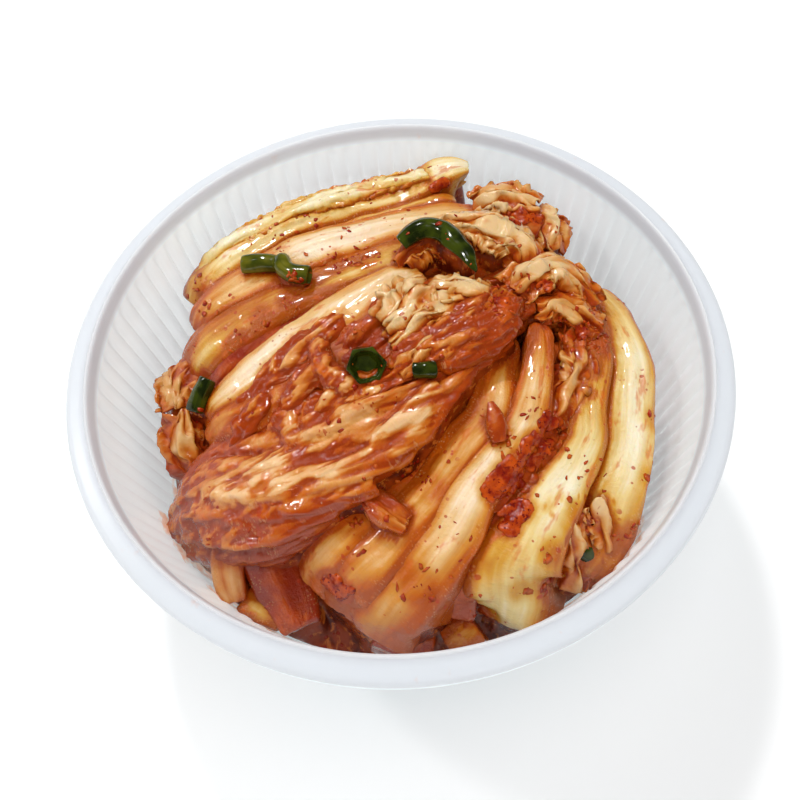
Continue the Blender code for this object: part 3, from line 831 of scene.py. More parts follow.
LEAF_FOLDS = (("VORONOI", -5.0, 5.0, 7.0), ("CLOUDS", 1.6, 2.6, 6.0), ("CLOUDS", 0.7, 1.3, 5.0))
FINE_FOLDS = (("VORONOI", -3.0, 3.0, 6.0), ("CLOUDS", 1.4, 1.8, 5.0), ("CLOUDS", 0.6, 1.0, 4.0))
LEAVES = [
    ("front_leaf", leaf_flesh, LEAF_FOLDS, 9,
     [(-48.5, -25, 31, 14), (-44.5, -25, 35.5, 17), (-36.3, -25.2, 39.5, 20.5), (-25.6, -24, 43.5, 22.5), (-17.5, -21, 46.5, 22),
      (-9.1, -18.6, 48.5, 19.5), (-0.8, -15.4, 50.5, 15), (7.1, -11, 51.5, 10), (14, -5, 51.5, 8)],
     [0.35, 0.22, 0.12, 0.12, 0.18, 0.25, 0.3, 0.4, 0.5]),
    ("red_leaf", leaf_flesh, FINE_FOLDS, 6,
     [(24.5, 7, 52, 10), (17, 1, 53, 11), (8.5, -3, 52.5, 11), (0.8, -5, 51.5, 10), (-5, -8, 50, 9)],
     [0.4, 0.25, 0.2, 0.25, 0.35]),
    ("middle_leaf", leaf_flesh, FINE_FOLDS, 6,
     [(-8.5, -0.5, 49, 12), (0, 4, 51, 13), (8, 6.5, 51.5, 13), (17, 8, 51.5, 13)],
     [0.5, 0.45, 0.45, 0.5]),
    ("curled_leaf", leaf_flesh, FINE_FOLDS, 7,
     [(4, 20, 46, 9), (13, 21, 47.5, 11), (22, 20, 47, 12), (29, 16, 46, 11)],
     [0.5, 0.55, 0.6, 0.5]),
    ("back_leaf", leaf_flesh, FINE_FOLDS, 9,
     [(19, 35, 44, 12), (28, 34, 45, 14), (36, 31, 44, 15), (42, 27, 41, 14)],
     [0.4, 0.5, 0.5, 0.45]),
    ("side_leaf", leaf_flesh, FINE_FOLDS, 9,
     [(24, 12, 48.5, 13), (32, 10, 48.5, 13), (40, 9.5, 46, 12), (46, 12, 41, 11)],
     [0.5, 0.45, 0.45, 0.5]),
    ("crumpled_leaf", leaf_flesh, FINE_FOLDS, 9,
     [(-46, 9, 33, 9), (-47, 0, 33, 10), (-46, -9, 31.5, 10), (-44, -16, 29, 9)],
     [0.5, 0.55, 0.6, 0.6]),
    ("torn_leaf", leaf_flesh, FINE_FOLDS, 4,
     [(28.5, -33, 42.5, 9), (31, -38.5, 40, 11), (32, -43.5, 35.5, 12), (31, -48, 30, 12)],
     [0.3, 0.35, 0.45, 0.55]),
    ("leaf_flap", leaf_flesh, FINE_FOLDS, 3,
     [(-8, -30.5, 45.5, 5), (-4, -34, 45.5, 5), (0, -37, 43.5, 4)],
     [0.3, 0.2, 0.2]),
]
FOLDED = {"front_leaf": [], "red_leaf": []}
for name, material, folds, depth, bends, soaks in LEAVES:
    leaf = cabbage_piece(
        name + "_skin", bends, soaks, material, "" if name in FOLDED else "cabbage_leaf", (name,), folds=folds,
        depth=depth, across=22 if name == "front_leaf" else 16, rounding=min(2.5, depth / 3), lumps=0.4, arch=0.16,
    )
    if name in FOLDED:
        FOLDED[name].append(leaf)


def ruffle(name, bends, soaks, material, pleat=1.7, push=3.4, frill=1.4, drop=1.8, thick=0.35, roll=0.0):
    """A thin leaf thrown into pleats along its length, frilled along its free edges, then bent."""
    number = next(numbers)
    places = [bend[:3] for bend in bends]
    breadths = [bend[3] for bend in bends]
    mean = sum(breadths) / len(breadths) * MM
    length = line_length(places)
    let_go()
    bpy.ops.mesh.primitive_grid_add(
        x_subdivisions=max(20, int(length / (0.45 * MM))), y_subdivisions=max(16, int(mean / (0.32 * MM))), size=1.0,
    )
    piece = name_piece(name)
    edit(piece)
    bpy.ops.mesh.select_all(action="SELECT")
    bpy.ops.transform.resize(value=(length, mean, 1.0))
    bpy.ops.transform.translate(value=(length / 2, 0, 0))
    leave()
    before = offsets(piece)
    for vertex in piece.data.vertices:
        side = 2 * vertex.co.y / mean
        wave = field.noise(Vector((vertex.co.x / (1.7 * MM), 7 * side, number * 3.1)))
        vertex.co.z += frill * MM * wave * side ** 2 - drop * MM * abs(side) ** 2.2
        vertex.co.y += 0.7 * frill * MM * wave * side
    bpy.ops.object.empty_add(location=(number * 0.31, number * 0.07, number * 0.17))
    mark = bpy.context.object
    mark.scale = (pleat * MM * 4.5, pleat * MM, pleat * MM)
    bpy.context.view_layer.update()
    texture = noise_texture("pleats", "CLOUDS", 1.0, 1)
    texture.cloud_type = "COLOR"
    flat = offsets(piece)
    finish(
        piece, "DISPLACE", texture=texture, texture_coords="OBJECT", texture_coords_object=mark,
        direction="RGB_TO_XYZ", strength=push * MM, mid_level=0.5,
    )
    bpy.data.objects.remove(mark)
    keep_grain(piece, number, mean, 5 * MM, before, push * MM, places, soaks)
    for vertex, place in zip(piece.data.vertices, flat):
        piece.data.attributes["fold"].data[vertex.index].value = 0.5 + (vertex.co.z - place.z) / (0.7 * push * MM)
    finish(piece, "SOLIDIFY", thickness=thick * MM, offset=0.0)
    bend(piece, places, [breadth * MM / mean for breadth in breadths], [roll] * len(bends))
    roughen(piece, 0.8 * MM, 4 * MM, "RGB_TO_XYZ")
    piece.data.materials.append(material)
    piece.data.shade_smooth()
    add_food(piece, "cabbage_leaf")
    return piece


STRIP_FOLDS = (("CLOUDS", 0.8, 1.6, 8.0), ("CLOUDS", 0.4, 0.9, 5.0))
STRIPS = [
    ("front_fold_1", leaf_flesh,
     [(-45.8, -18.3, 33.5, 3.5), (-38.4, -15.5, 38.5, 5), (-31.2, -14.8, 41.5, 5.5), (-23.1, -16.3, 44, 4.5),
      (-20.1, -15.3, 44.5, 3)],
     [0.55, 0.5, 0.4, 0.4, 0.5]),
    ("front_fold_2", leaf_flesh,
     [(-47.1, -21.3, 32.5, 4), (-41.4, -19.8, 37.5, 5), (-33.9, -20.7, 41.5, 5.5), (-27.5, -21.9, 43.8, 5.5),
      (-20.8, -21.4, 46, 5), (-13.6, -18.2, 48, 4.5), (-7.8, -14.9, 49.5, 4), (-4.5, -12, 50, 3)],
     [0.3, 0.12, 0.08, 0.1, 0.15, 0.15, 0.25, 0.35]),
    ("front_fold_3", leaf_flesh,
     [(-47.5, -24.1, 32.5, 4.5), (-41, -23.7, 38.3, 6), (-33.5, -24.9, 42.5, 6.5), (-27.3, -26.1, 44.8, 6.5),
      (-19.4, -26.5, 47, 6), (-11.4, -26.4, 49, 5.5), (-4.2, -24.4, 50.5, 5), (0.8, -21.2, 51.5, 4.5),
      (5.3, -17.1, 52, 3)],
     [0.3, 0.05, 0, 0, 0.08, 0.12, 0.1, 0.15, 0.3]),
    ("front_fold_4", leaf_flesh,
     [(-47.5, -26.5, 31.5, 4.5), (-41.1, -27.1, 37, 5.5), (-32.1, -29.1, 41.3, 5.5), (-23, -30.2, 44.5, 5),
      (-14.2, -30.1, 46.8, 4.5), (-6.3, -28.5, 48.5, 4)],
     [0.45, 0.42, 0.42, 0.38, 0.36, 0.4]),
    ("front_fold_5", leaf_flesh,
     [(-46.6, -28.6, 30.5, 4.5), (-40.5, -29.6, 35.2, 5.5), (-32.6, -31.5, 39.3, 5.5),
      (-26.4, -32.3, 41.5, 5), (-20.5, -32.3, 43, 4.5), (-13.8, -31.6, 44.5, 3.5)],
     [0.35, 0.3, 0.32, 0.32, 0.38, 0.42]),
    ("front_fold_6", red_flesh,
     [(-45.7, -30.3, 28.5, 4.5), (-39.9, -32.5, 32, 5), (-33.5, -33.9, 35, 5), (-27.2, -34.6, 37.5, 5),
      (-21.1, -33.3, 39.5, 4), (-16.1, -31.7, 41, 3)],
     [0.5, 0.48, 0.45, 0.42, 0.42, 0.45]),
    ("hanging_fold_1", leaf_flesh,
     [(-21.2, -8.9, 45.5, 3.5), (-21.9, -12.6, 46.5, 4), (-21.1, -16.2, 46.5, 4), (-19.2, -17.7, 46.5, 4)],
     [0.25, 0.15, 0.2, 0.3]),
    ("hanging_fold_2", leaf_flesh,
     [(-16, -8.1, 47, 3.5), (-16.3, -12, 48.3, 4), (-17.1, -15.4, 48.3, 4), (-18.7, -17.8, 47.3, 3.5)],
     [0.3, 0.1, 0.05, 0.2]),
    ("hanging_fold_3", red_flesh,
     [(-15.5, -16.7, 48, 3), (-12.1, -14.8, 49.8, 4), (-8.3, -13, 50.8, 4), (-5.1, -10.5, 51.3, 3.5)],
     [0.2, 0.1, 0.1, 0.2]),
    ("pale_fold_1", leaf_flesh,
     [(-7.9, -22.3, 49, 3), (-4.7, -21.9, 50.8, 4.5), (-1.2, -19.5, 52, 4.5), (3.8, -15.8, 53, 4),
      (7.6, -12.5, 53, 3)],
     [0.3, 0.1, 0.05, 0.1, 0.3]),
    ("red_fold_1", leaf_flesh,
     [(23.3, 0.4, 54.5, 3.5), (18, -5, 55, 4.5), (11.6, -7.1, 55, 4.5), (5, -7, 54.3, 4.5),
      (-0.7, -8.9, 53, 4.5), (-5.1, -11.4, 52, 3.5)],
     [0.45, 0.35, 0.3, 0.25, 0.35, 0.45]),
    ("red_fold_2", red_flesh,
     [(24.5, 3.8, 55, 3.5), (20.2, -0.9, 56, 5), (14.9, -3.1, 56.3, 5), (9.6, -5, 56, 4.5),
      (3.5, -4.8, 55, 4), (-1.2, -6.4, 53.8, 3.5)],
     [0.5, 0.42, 0.35, 0.3, 0.35, 0.45]),
    ("red_fold_3", leaf_flesh,
     [(19.2, 6.4, 55, 3), (15, 2, 56.2, 4), (11.1, -1.9, 56.3, 4), (6.3, -4, 55.8, 3.5)],
     [0.4, 0.25, 0.3, 0.4]),
    ("cup_lip", leaf_flesh,
     [(-15.7, 2.8, 50, 3), (-14.5, -3.7, 51.5, 3.5), (-12.6, -8.1, 52, 4), (-7.9, -10.2, 52.3, 4),
      (-2.4, -8, 52.5, 3.5), (0.4, -3.7, 52.5, 3)],
     [0.3, 0.15, 0.08, 0.05, 0.15, 0.3]),
    ("tangle_fold_1", leaf_flesh,
     [(-10.8, 8.5, 49, 4), (-14.5, 4.6, 50, 5), (-19.1, 1.5, 49.3, 5.5), (-25.7, -3.4, 46.5, 5.5),
      (-31.5, -8, 43.3, 5), (-35.5, -11.3, 40, 4)],
     [0.25, 0.15, 0.2, 0.25, 0.35, 0.5]),
    ("tangle_fold_2", leaf_flesh,
     [(-15.5, -4, 50, 4), (-19.2, -7.1, 49, 5), (-21.6, -11.1, 47, 4.5), (-23.5, -14.7, 45, 4)],
     [0.35, 0.25, 0.3, 0.4]),
    ("tangle_fold_3", red_flesh,
     [(-16.3, -13, 48.5, 3), (-12.8, -11.8, 50, 4), (-8.4, -11.5, 51.3, 4.5), (-3.6, -11.3, 52, 4),
      (0.6, -10.9, 52, 3)],
     [0.2, 0.05, 0, 0.05, 0.2]),
    ("tangle_fold_4", leaf_flesh,
     [(-27.3, -8.1, 46, 3.5), (-30, -10.7, 44.5, 4.5), (-33.2, -12.9, 42.5, 4.5), (-36.7, -14.6, 39.5, 4)],
     [0.4, 0.35, 0.4, 0.5]),
]
FOLDED["tangle"] = []
for name, material, bends, soaks in STRIPS:
    whole = "front_leaf" if name.startswith(("front", "hanging", "pale")) else "red_leaf" if name.startswith("red") else "tangle"
    wider = [(x, y, z - 0.4, breadth * 1.3) for x, y, z, breadth in bends]
    FOLDED[whole].append(cabbage_piece(
        name, wider, soaks, leaf_flesh, "", folds=STRIP_FOLDS, depth=4, rounding=1.4,
        across=8, lumps=0.4, warp=1.0, arch=0.22,
    ))
CREASES = {"front_leaf": (1.5, 1.8, 8.0, 16), "red_leaf": (2.6, 1.7, 3.5, 27), "tangle": (2.2, 1.7, 4.5, 37)}
for whole, pieces in FOLDED.items():
    skin = melt(whole + "_folds", pieces)
    crease(skin, *CREASES[whole])
    if whole == "tangle":
        add_food(skin, "cabbage_leaf")
    else:
        add_food(skin, "cabbage_leaf", whole)


RUFFLES = [
    ("middle_ruffle_1", ruffle_flesh, [(-3, 1, 52.5, 8), (0, 2.5, 54.5, 10), (4, 5.5, 55.5, 11), (9, 8.5, 55, 9)], [0.2, 0.05, 0.05, 0.15]),
    ("middle_ruffle_2", ruffle_flesh, [(-1, -3.5, 52.5, 7), (4, 0, 54, 8), (10, 2.5, 55, 9), (17, 4, 55, 9)], [0.2, 0.1, 0.12, 0.25]),
    ("middle_ruffle_3", ruffle_flesh, [(6, 12, 50, 9), (10, 9.5, 53, 9), (15, 7, 54.5, 9), (20, 5, 54.5, 8)], [0.4, 0.2, 0.15, 0.25]),
    ("red_ruffle", ruffle_flesh, [(23, 6.5, 54, 9), (17, 0.5, 55, 9), (9, -3.5, 55, 8), (3, -6.5, 54, 7), (-1, -9.5, 52, 6)], [0.45, 0.3, 0.2, 0.25, 0.3]),
    ("side_ruffle_1", ruffle_flesh, [(24, 8, 52, 8), (29, 11, 53, 9), (34, 12.5, 52.5, 9), (39, 9, 50, 8), (42, 4.5, 47.5, 7)], [0.25, 0.1, 0.1, 0.15, 0.3]),
    ("side_ruffle_2", ruffle_flesh, [(28, 4.5, 51, 8), (33, 5, 51, 8), (38, 2, 49.5, 8), (43, -1, 47, 6)], [0.3, 0.3, 0.35, 0.4]),
    ("curled_ruffle_1", ruffle_flesh, [(10, 26, 51.5, 7), (16, 25.5, 53.5, 9), (23, 23, 54, 10), (28, 18.5, 52.5, 9), (28, 14.5, 50, 7)], [0.25, 0.15, 0.1, 0.15, 0.3]),
    ("curled_ruffle_2", ruffle_flesh, [(2, 19, 49.5, 6), (6, 22, 51, 7), (11, 22.5, 51.5, 7), (15, 20, 50.5, 6)], [0.35, 0.3, 0.3, 0.4]),
    ("back_ruffle_1", ruffle_flesh, [(20, 37.5, 46.5, 8), (25, 38, 48.5, 10), (31, 36.5, 49, 10), (36, 33.5, 48, 9)], [0.3, 0.15, 0.2, 0.2]),
    ("back_ruffle_2", ruffle_flesh, [(35.5, 36, 45.5, 7), (37, 31.5, 47.5, 8), (37, 27, 47, 8), (36, 22, 45, 7)], [0.25, 0.12, 0.15, 0.3]),
    ("back_ruffle_3", red_flesh, [(24, 32, 47, 8), (30, 30.5, 48, 9), (35, 28, 47.5, 8)], [0.3, 0.35, 0.3]),
    ("crumpled_ruffle_1", ruffle_flesh, [(-45, 11, 35, 7), (-48, 4, 36, 9), (-48, -4, 35.5, 9)], [0.3, 0.25, 0.35]),
    ("crumpled_ruffle_2", ruffle_flesh, [(-47, -3, 35.5, 8), (-47, -10, 34, 9), (-44, -17, 31, 8)], [0.35, 0.3, 0.4]),
    ("saucy_ruffle_1", ruffle_flesh, [(38, 2, 48, 6), (35.5, -7, 48, 7), (31, -15.5, 47.3, 7), (26, -22.5, 46, 7), (20.5, -28.5, 44.5, 7), (14.5, -35.5, 42, 6)], [0.35, 0.3, 0.3, 0.35, 0.5, 0.6]),
    ("torn_ruffle_1", ruffle_flesh, [(27, -34, 44, 5), (29, -39.5, 42, 6), (29, -45, 37, 7), (28, -49, 32, 6)], [0.1, 0.1, 0.2, 0.35]),
    ("torn_ruffle_2", ruffle_flesh, [(33, -35, 43.5, 5), (35, -40, 40.5, 6), (35, -44, 37, 6)], [0.15, 0.2, 0.35]),
]
for name, material, bends, soaks in RUFFLES:
    ruffle(name, bends, [darkening - 0.12 for darkening in soaks], material)
ruffle(
    "rim_ruffle",
    [(12, 49.5, 46.2, 6), (2, 49, 45, 6), (-9, 47.5, 44.3, 6), (-20, 44.5, 43.8, 6), (-30, 39.5, 43.2, 6),
     (-38, 35, 41.8, 6), (-44, 29.5, 39.8, 5)],
    [0.0, 0.0, 0.04, 0.08, 0.05, 0.08, 0.2], outer_flesh, pleat=2.6, push=1.8, frill=1.2, drop=1.0, thick=0.7,
)

BITS = [
    ("stem_bit_1", ruffle_flesh, 5, "cabbage_rib", [(-36.5, -32, 33.5, 8), (-37, -38, 31, 7), (-36, -44, 27, 5)], [0.2, 0.15, 0.3]),
    ("stem_bit_2", outer_flesh, 5, "cabbage_rib", [(-35, -41.5, 26, 7), (-30.5, -44.5, 27, 7), (-26.5, -47.5, 26, 5)], [0.25, 0.15, 0.2]),
    ("stem_bit_3", leaf_flesh, 5, "cabbage_leaf", [(-30, -33, 32, 11), (-26, -41.5, 29, 12), (-23, -49.5, 26.5, 8)], [0.95, 0.9, 0.72]),
    ("stem_bit_4", outer_flesh, 6, "cabbage_rib", [(4, -54.5, 24, 6), (7, -53, 26, 7), (10, -51.5, 27, 7)], [0.6, 0.5, 0.45]),
    ("stem_bit_5", red_flesh, 8, "cabbage_leaf", [(-8, -49.5, 27, 9), (-3, -52, 26, 9), (3, -53.5, 23, 8)], [0.6, 0.6, 0.65]),
    ("radish_wedge", leaf_flesh, 3, "radish", [(16.6, -16.6, 50.6, 1.2), (17, -19.5, 50.8, 3.4), (17.2, -21.8, 50.3, 3.8), (17.4, -24.4, 49, 2.6)], [0.5, 0.45, 0.4, 0.45]),
]
for name, material, depth, slot, bends, soaks in BITS:
    cabbage_piece(name + "_flesh", bends, soaks, material, slot, (name,), folds=() if slot == "radish" else (("CLOUDS", 0.9, 3.0, 4.0),),
                  depth=depth, rounding=min(1.6, depth / 5), across=6, lumps=0.15 if slot == "radish" else 0.3, warp=0.6,
                  arch=0.1, tip=False)

# ---------------------------------------------------------------- scallions

SCALLIONS = [
    ("scallion_2", [(-32.5, 26.5, 48), (-28, 26, 48.5), (-24.3, 25.5, 48.5)], 2.1, olive_scallion),
    ("scallion_3", [(-23.6, 26.5, 49), (-21.5, 21.5, 50), (-17, 20, 50)], 2.2, olive_scallion),
    ("scallion_5", [(2.5, -9.5, 54.5), (5, -10, 55), (7.5, -10, 54.5)], 1.7, dark_scallion),
    ("scallion_6", [(-40.5, 0, 42.5), (-42.5, -3, 41), (-44, -6, 39)], 2.0, dark_scallion),
    ("scallion_7", [(30, -41, 39.5), (32.5, -43, 38.5), (35, -44, 37)], 2.1, dark_scallion),
]


def make_scallion(name, bends, radius, material):
    """A cut of scallion: a thin tube with open ends, bent along its line."""
    number = next(numbers)
    length = line_length(bends)
    let_go()
    bpy.ops.mesh.primitive_cylinder_add(
        vertices=14, radius=radius * MM, depth=length, end_fill_type="NOTHING",
        location=(length / 2, 0, -radius * MM), rotation=(0, pi / 2, 0),
    )
    piece = name_piece(name + "_tube")
    bpy.ops.object.transform_apply(location=True, rotation=True, scale=True)
    edit(piece)
    pick(piece, lambda a, b: abs(a.x - b.x) > length / 2, "EDGE")
    bpy.ops.mesh.subdivide(number_cuts=8)
    leave()
    finish(piece, "SOLIDIFY", thickness=0.7 * MM, offset=-1.0)
    subdivide(piece, 1)
    keep_grain(piece, number, 2 * radius * MM, 2 * radius * MM, offsets(piece), 1.0, bends, [0.0] * len(bends))
    bend(piece, bends, [1.0] * len(bends), [0.0] * len(bends))
    roughen(piece, 0.7 * MM, 5 * MM, "RGB_TO_XYZ")
    piece.data.materials.append(material)
    piece.data.shade_smooth()
    add_food(piece, "scallion", name)


for name, bends, radius, material in SCALLIONS:
    make_scallion(name, bends, radius, material)


def make_scallion_cup(name, bends, radius, material):
    """A wide six-sided cut of scallion, hollow at its mouth and closed further in."""
    number = next(numbers)
    length = line_length(bends)
    let_go()
    bpy.ops.mesh.primitive_cylinder_add(
        vertices=6, radius=radius * MM, depth=length, location=(length / 2, 0, -radius * MM), rotation=(0, pi / 2, 0),
    )
    piece = name_piece(name + "_cup")
    bpy.ops.object.transform_apply(location=True, rotation=True, scale=True)
    edit(piece)
    pick(piece, lambda middle: middle.x > 0.99 * length, "FACE")
    bpy.ops.mesh.inset(thickness=0.7 * MM)
    bpy.ops.mesh.extrude_region_move(TRANSFORM_OT_translate={"value": (-0.3 * length, 0, 0)})
    bpy.ops.transform.resize(value=(1, 0.75, 0.75))
    leave()
    finish(piece, "BEVEL", width=0.35 * MM, segments=2, limit_method="ANGLE")
    subdivide(piece, 1)
    keep_grain(piece, number, 2 * radius * MM, 2 * radius * MM, offsets(piece), 1.0, bends, [0.0] * len(bends))
    bend(piece, bends, [1.0] * len(bends), [0.0] * len(bends))
    roughen(piece, 0.8 * MM, 4 * MM, "RGB_TO_XYZ")
    piece.data.materials.append(material)
    piece.data.shade_smooth()
    add_food(piece, "scallion", name)


make_scallion_cup("scallion_4", [(-6.6, 0.6, 48.3), (-6.5, -2.2, 52), (-6.2, -5.1, 56)], 3.9, dark_scallion)


def make_scallion_strip(name, bends, breadth, material):
    """A strip of green leaf slit open along its length, cupped and running to a point."""
    number = next(numbers)
    length = line_length(bends)
    let_go()
    bpy.ops.mesh.primitive_grid_add(x_subdivisions=48, y_subdivisions=16, size=1.0)
    piece = name_piece(name + "_strip")
    edit(piece)
    bpy.ops.mesh.select_all(action="SELECT")
    bpy.ops.transform.resize(value=(length, breadth * MM, 1.0))
    bpy.ops.transform.translate(value=(length / 2, 0, 0))
    leave()
    for vertex in piece.data.vertices:
        share = vertex.co.x / length
        narrow = min(1.0, (1.02 - share) * 2.4) ** 0.7 * (0.85 + 0.15 * min(1.0, share * 6))
        side = vertex.co.y / (breadth * MM / 2)
        vertex.co.y = side * narrow * breadth * MM / 2
        vertex.co.z = -0.3 * breadth * MM * narrow * side ** 2
    keep_grain(piece, number, breadth * MM, 3 * MM, offsets(piece), 1.0, bends, [0.0] * len(bends))
    finish(piece, "SOLIDIFY", thickness=0.7 * MM, offset=-1.0)
    bend(piece, bends, [1.0] * len(bends), [0.0, 8.0, 10.0, 5.0, 0.0])
    roughen(piece, 0.9 * MM, 5 * MM, "RGB_TO_XYZ")
    piece.data.materials.append(material)
    piece.data.shade_smooth()
    add_food(piece, "scallion", name)


make_scallion_strip(
    "scallion_1", [(2.8, 22.5, 53.5), (6.5, 24.3, 55.3), (10.5, 23.2, 56.5), (14.5, 18, 57), (17.6, 10.5, 55.8)], 5.2, dark_scallion,
)

# ---------------------------------------------------------------- the mass below

SAUCE_DROP = 2.6
GRID = 140


def make_core():
    """The saucy mass under and between the pieces: their own skyline, blurred and sunk."""
    above = find_surface()
    let_go()
    bpy.ops.mesh.primitive_grid_add(x_subdivisions=GRID, y_subdivisions=GRID, size=2.0)
    core = name_piece("saucy_core")
    mesh = core.data
    down = Vector((0, 0, -1))
    found = {}
    for vertex in mesh.vertices:
        x, y = vertex.co.x, vertex.co.y
        vertex.co.x = x * (1 - y * y / 2) ** 0.5 * 57.5 * MM
        vertex.co.y = y * (1 - x * x / 2) ** 0.5 * 57.5 * MM
        place, normal, face, distance = above.ray_cast(Vector((vertex.co.x, vertex.co.y, 0.08)), down)
        high = place.z if place is not None else 20 * MM
        found[vertex.index] = max(high, 20 * MM)
        vertex.co.z = found[vertex.index]
    let_go()
    finish(core, "SMOOTH", factor=0.5, iterations=14, use_x=False, use_y=False, use_z=True)
    for vertex in mesh.vertices:
        sunk = min(vertex.co.z, 0.5 * (vertex.co.z + found[vertex.index]) + 1.0 * MM) - SAUCE_DROP * MM
        flat = (vertex.co.x ** 2 + vertex.co.y ** 2) ** 0.5
        slope = min(1.0, max(0.0, (flat - 46 * MM) / (11.5 * MM)))
        vertex.co.z = max(14 * MM, sunk - 3.0 * MM * slope)
        limit = wall_radius(max(10 * MM, vertex.co.z)) - 0.5 * MM
        if flat > limit:
            vertex.co.x *= limit / flat
            vertex.co.y *= limit / flat
    edit(core)
    bpy.ops.mesh.select_all(action="SELECT")
    bpy.ops.mesh.extrude_region_move(TRANSFORM_OT_translate={"value": (0, 0, -0.05)})
    leave()
    for vertex in mesh.vertices:
        if vertex.select:
            vertex.co.z = 2 * MM
            vertex.co.x *= 0.82
            vertex.co.y *= 0.82
    edit(core)
    bpy.ops.mesh.select_all(action="SELECT")
    bpy.ops.mesh.normals_make_consistent(inside=False)
    leave()
    roughen(core, 1.6 * MM, 5 * MM, "Z", depth=2)
    mesh.materials.append(saucy_heap)
    mesh.shade_smooth()
    add_food(core, "spiced_heap", "kimchi_heap")
    return core


core = make_core()

# ---------------------------------------------------------------- shade in the crevices


def reach_of(piece):
    corners = [vertex.co for vertex in piece.data.vertices]
    low = Vector([min(corner[axis] for corner in corners) for axis in range(3)])
    high = Vector([max(corner[axis] for corner in corners) for axis in range(3)])
    return low, high


def tree_of(piece):
    mesh = piece.data
    return BVHTree.FromPolygons([v.co for v in mesh.vertices], [tuple(f.vertices) for f in mesh.polygons])


# The nearness stored here darkens the food's colour where pieces touch: painted shade.
def mark_contacts(gap=1.6 * MM):
    """Stores in each point how near another piece lies: 1 where they touch."""
    trees = [tree_of(piece) for piece in food]
    reaches = [reach_of(piece) for piece in food]
    for number, piece in enumerate(food):
        contact_shade = piece.data.attributes.new("contact_shade", "FLOAT", "POINT")
        low, high = reaches[number]
        near = [
            trees[other] for other in range(len(food))
            if other != number and all(
                reaches[other][0][axis] < high[axis] + gap and reaches[other][1][axis] > low[axis] - gap
                for axis in range(3)
            )
        ]
        for vertex in piece.data.vertices:
            touch = 0.0
            for tree in near:
                place, normal, face, distance = tree.find_nearest(vertex.co, gap)
                if place is None:
                    continue
                if (vertex.co - place).dot(normal) < 0:
                    distance = 0.0
                touch = max(touch, 1 - distance / gap)
            contact_shade.data[vertex.index].value = touch


def shade_crevices(reach=6 * MM, rays=10):
    """Stores in each point how closed in it is, from rays that meet a piece nearby."""
    corners, faces = [], []
    for piece in food:
        base = len(corners)
        corners += [vertex.co.copy() for vertex in piece.data.vertices]
        faces += [tuple(base + corner for corner in face.vertices) for face in piece.data.polygons]
    tree = BVHTree.FromPolygons(corners, faces)
    golden = pi * (3 - 5 ** 0.5)
    fan = []
    for ray in range(rays):
        rise = 0.15 + 0.85 * (ray + 0.5) / rays
        flat = (1 - rise * rise) ** 0.5
        fan.append(Vector((flat * cos(golden * ray), flat * sin(golden * ray), rise)))
    for piece in food:
        mesh = piece.data
        shade = mesh.attributes.new("shade", "FLOAT", "POINT")
        for vertex in mesh.vertices:
            turn = vertex.normal.to_track_quat("Z", "Y")
            start = vertex.co + vertex.normal * 0.15 * MM
            met = 0.0
            for ray in fan:
                hit = tree.ray_cast(start, turn @ ray, reach)
                if hit[0] is not None:
                    met += 1.0 - 0.5 * hit[3] / reach
            shade.data[vertex.index].value = met / rays


def tint_bowl_near_food(reach=2.5 * MM):
    """Orange on the wall of the bowl wherever food lies close to it: a stain from the brine and a painted orange
    reflection of the food.
    """
    tree = find_surface()
    juice_and_bounce = bowl.data.attributes["juice_and_bounce"].data
    for vertex in bowl.data.vertices:
        if 12 * MM < vertex.co.z < 47 * MM:
            place, normal, face, distance = tree.find_nearest(vertex.co, reach)
            if place is not None:
                juice_and_bounce[vertex.index].value = 1 - distance / reach


mark_contacts()
shade_crevices()
tint_bowl_near_food()

# ---------------------------------------------------------------- chilli



surface = find_surface()
LOOK_DOWN = Vector((0.0, 0.5, -0.87))


def land(x, y, height=47.0):
    """Where something dropped towards (x, y) at a height comes to rest, and the way it faces."""
    aim = Vector((x, y, height)) * MM
    place, normal, face, distance = surface.ray_cast(aim - LOOK_DOWN * 60 * MM, LOOK_DOWN)
    return place, normal


def flake_material():
    made, nodes, shader = new_material("chilli flake")
    place = nodes.add("TexCoord").outputs["Object"]
    tone = nodes.noise(place, 420.0, 1.0, 0.5)
    colour = nodes.mix(nodes.mask(tone, 0.35, 0.65), tint(150, 34, 6), tint(198, 84, 18))
    nodes.feed(shader, "Base Color", colour)
    constants(shader, Roughness=0.25, Subsurface_Weight=0.4, Subsurface_Scale=0.001)
    return made


def paste_material():
    made, nodes, shader = new_material("chilli paste")
    place = nodes.add("TexCoord").outputs["Object"]
    tone = nodes.noise(place, 380.0, 3.0, 0.6)
    fine = nodes.noise(place, 1400.0, 2.0, 0.6)
    colour = nodes.mix(nodes.mask(tone, 0.35, 0.65), tint(128, 24, 3), tint(184, 72, 10))
    colour = nodes.mix(nodes.mask(fine, 0.56, 0.66), colour, tint(104, 14, 4))
    nodes.feed(shader, "Base Color", colour)
    bump = nodes.add("Bump", Strength=0.5, Distance=0.0004, Height=nodes.math("ADD", tone, fine))
    nodes.feed(shader, "Normal", bump.outputs[0])
    constants(shader, Roughness=0.16, Subsurface_Weight=0.2, Subsurface_Scale=0.001)
    return made


chilli_flake = flake_material()
chilli_paste = paste_material()
draw = random.Random(11)


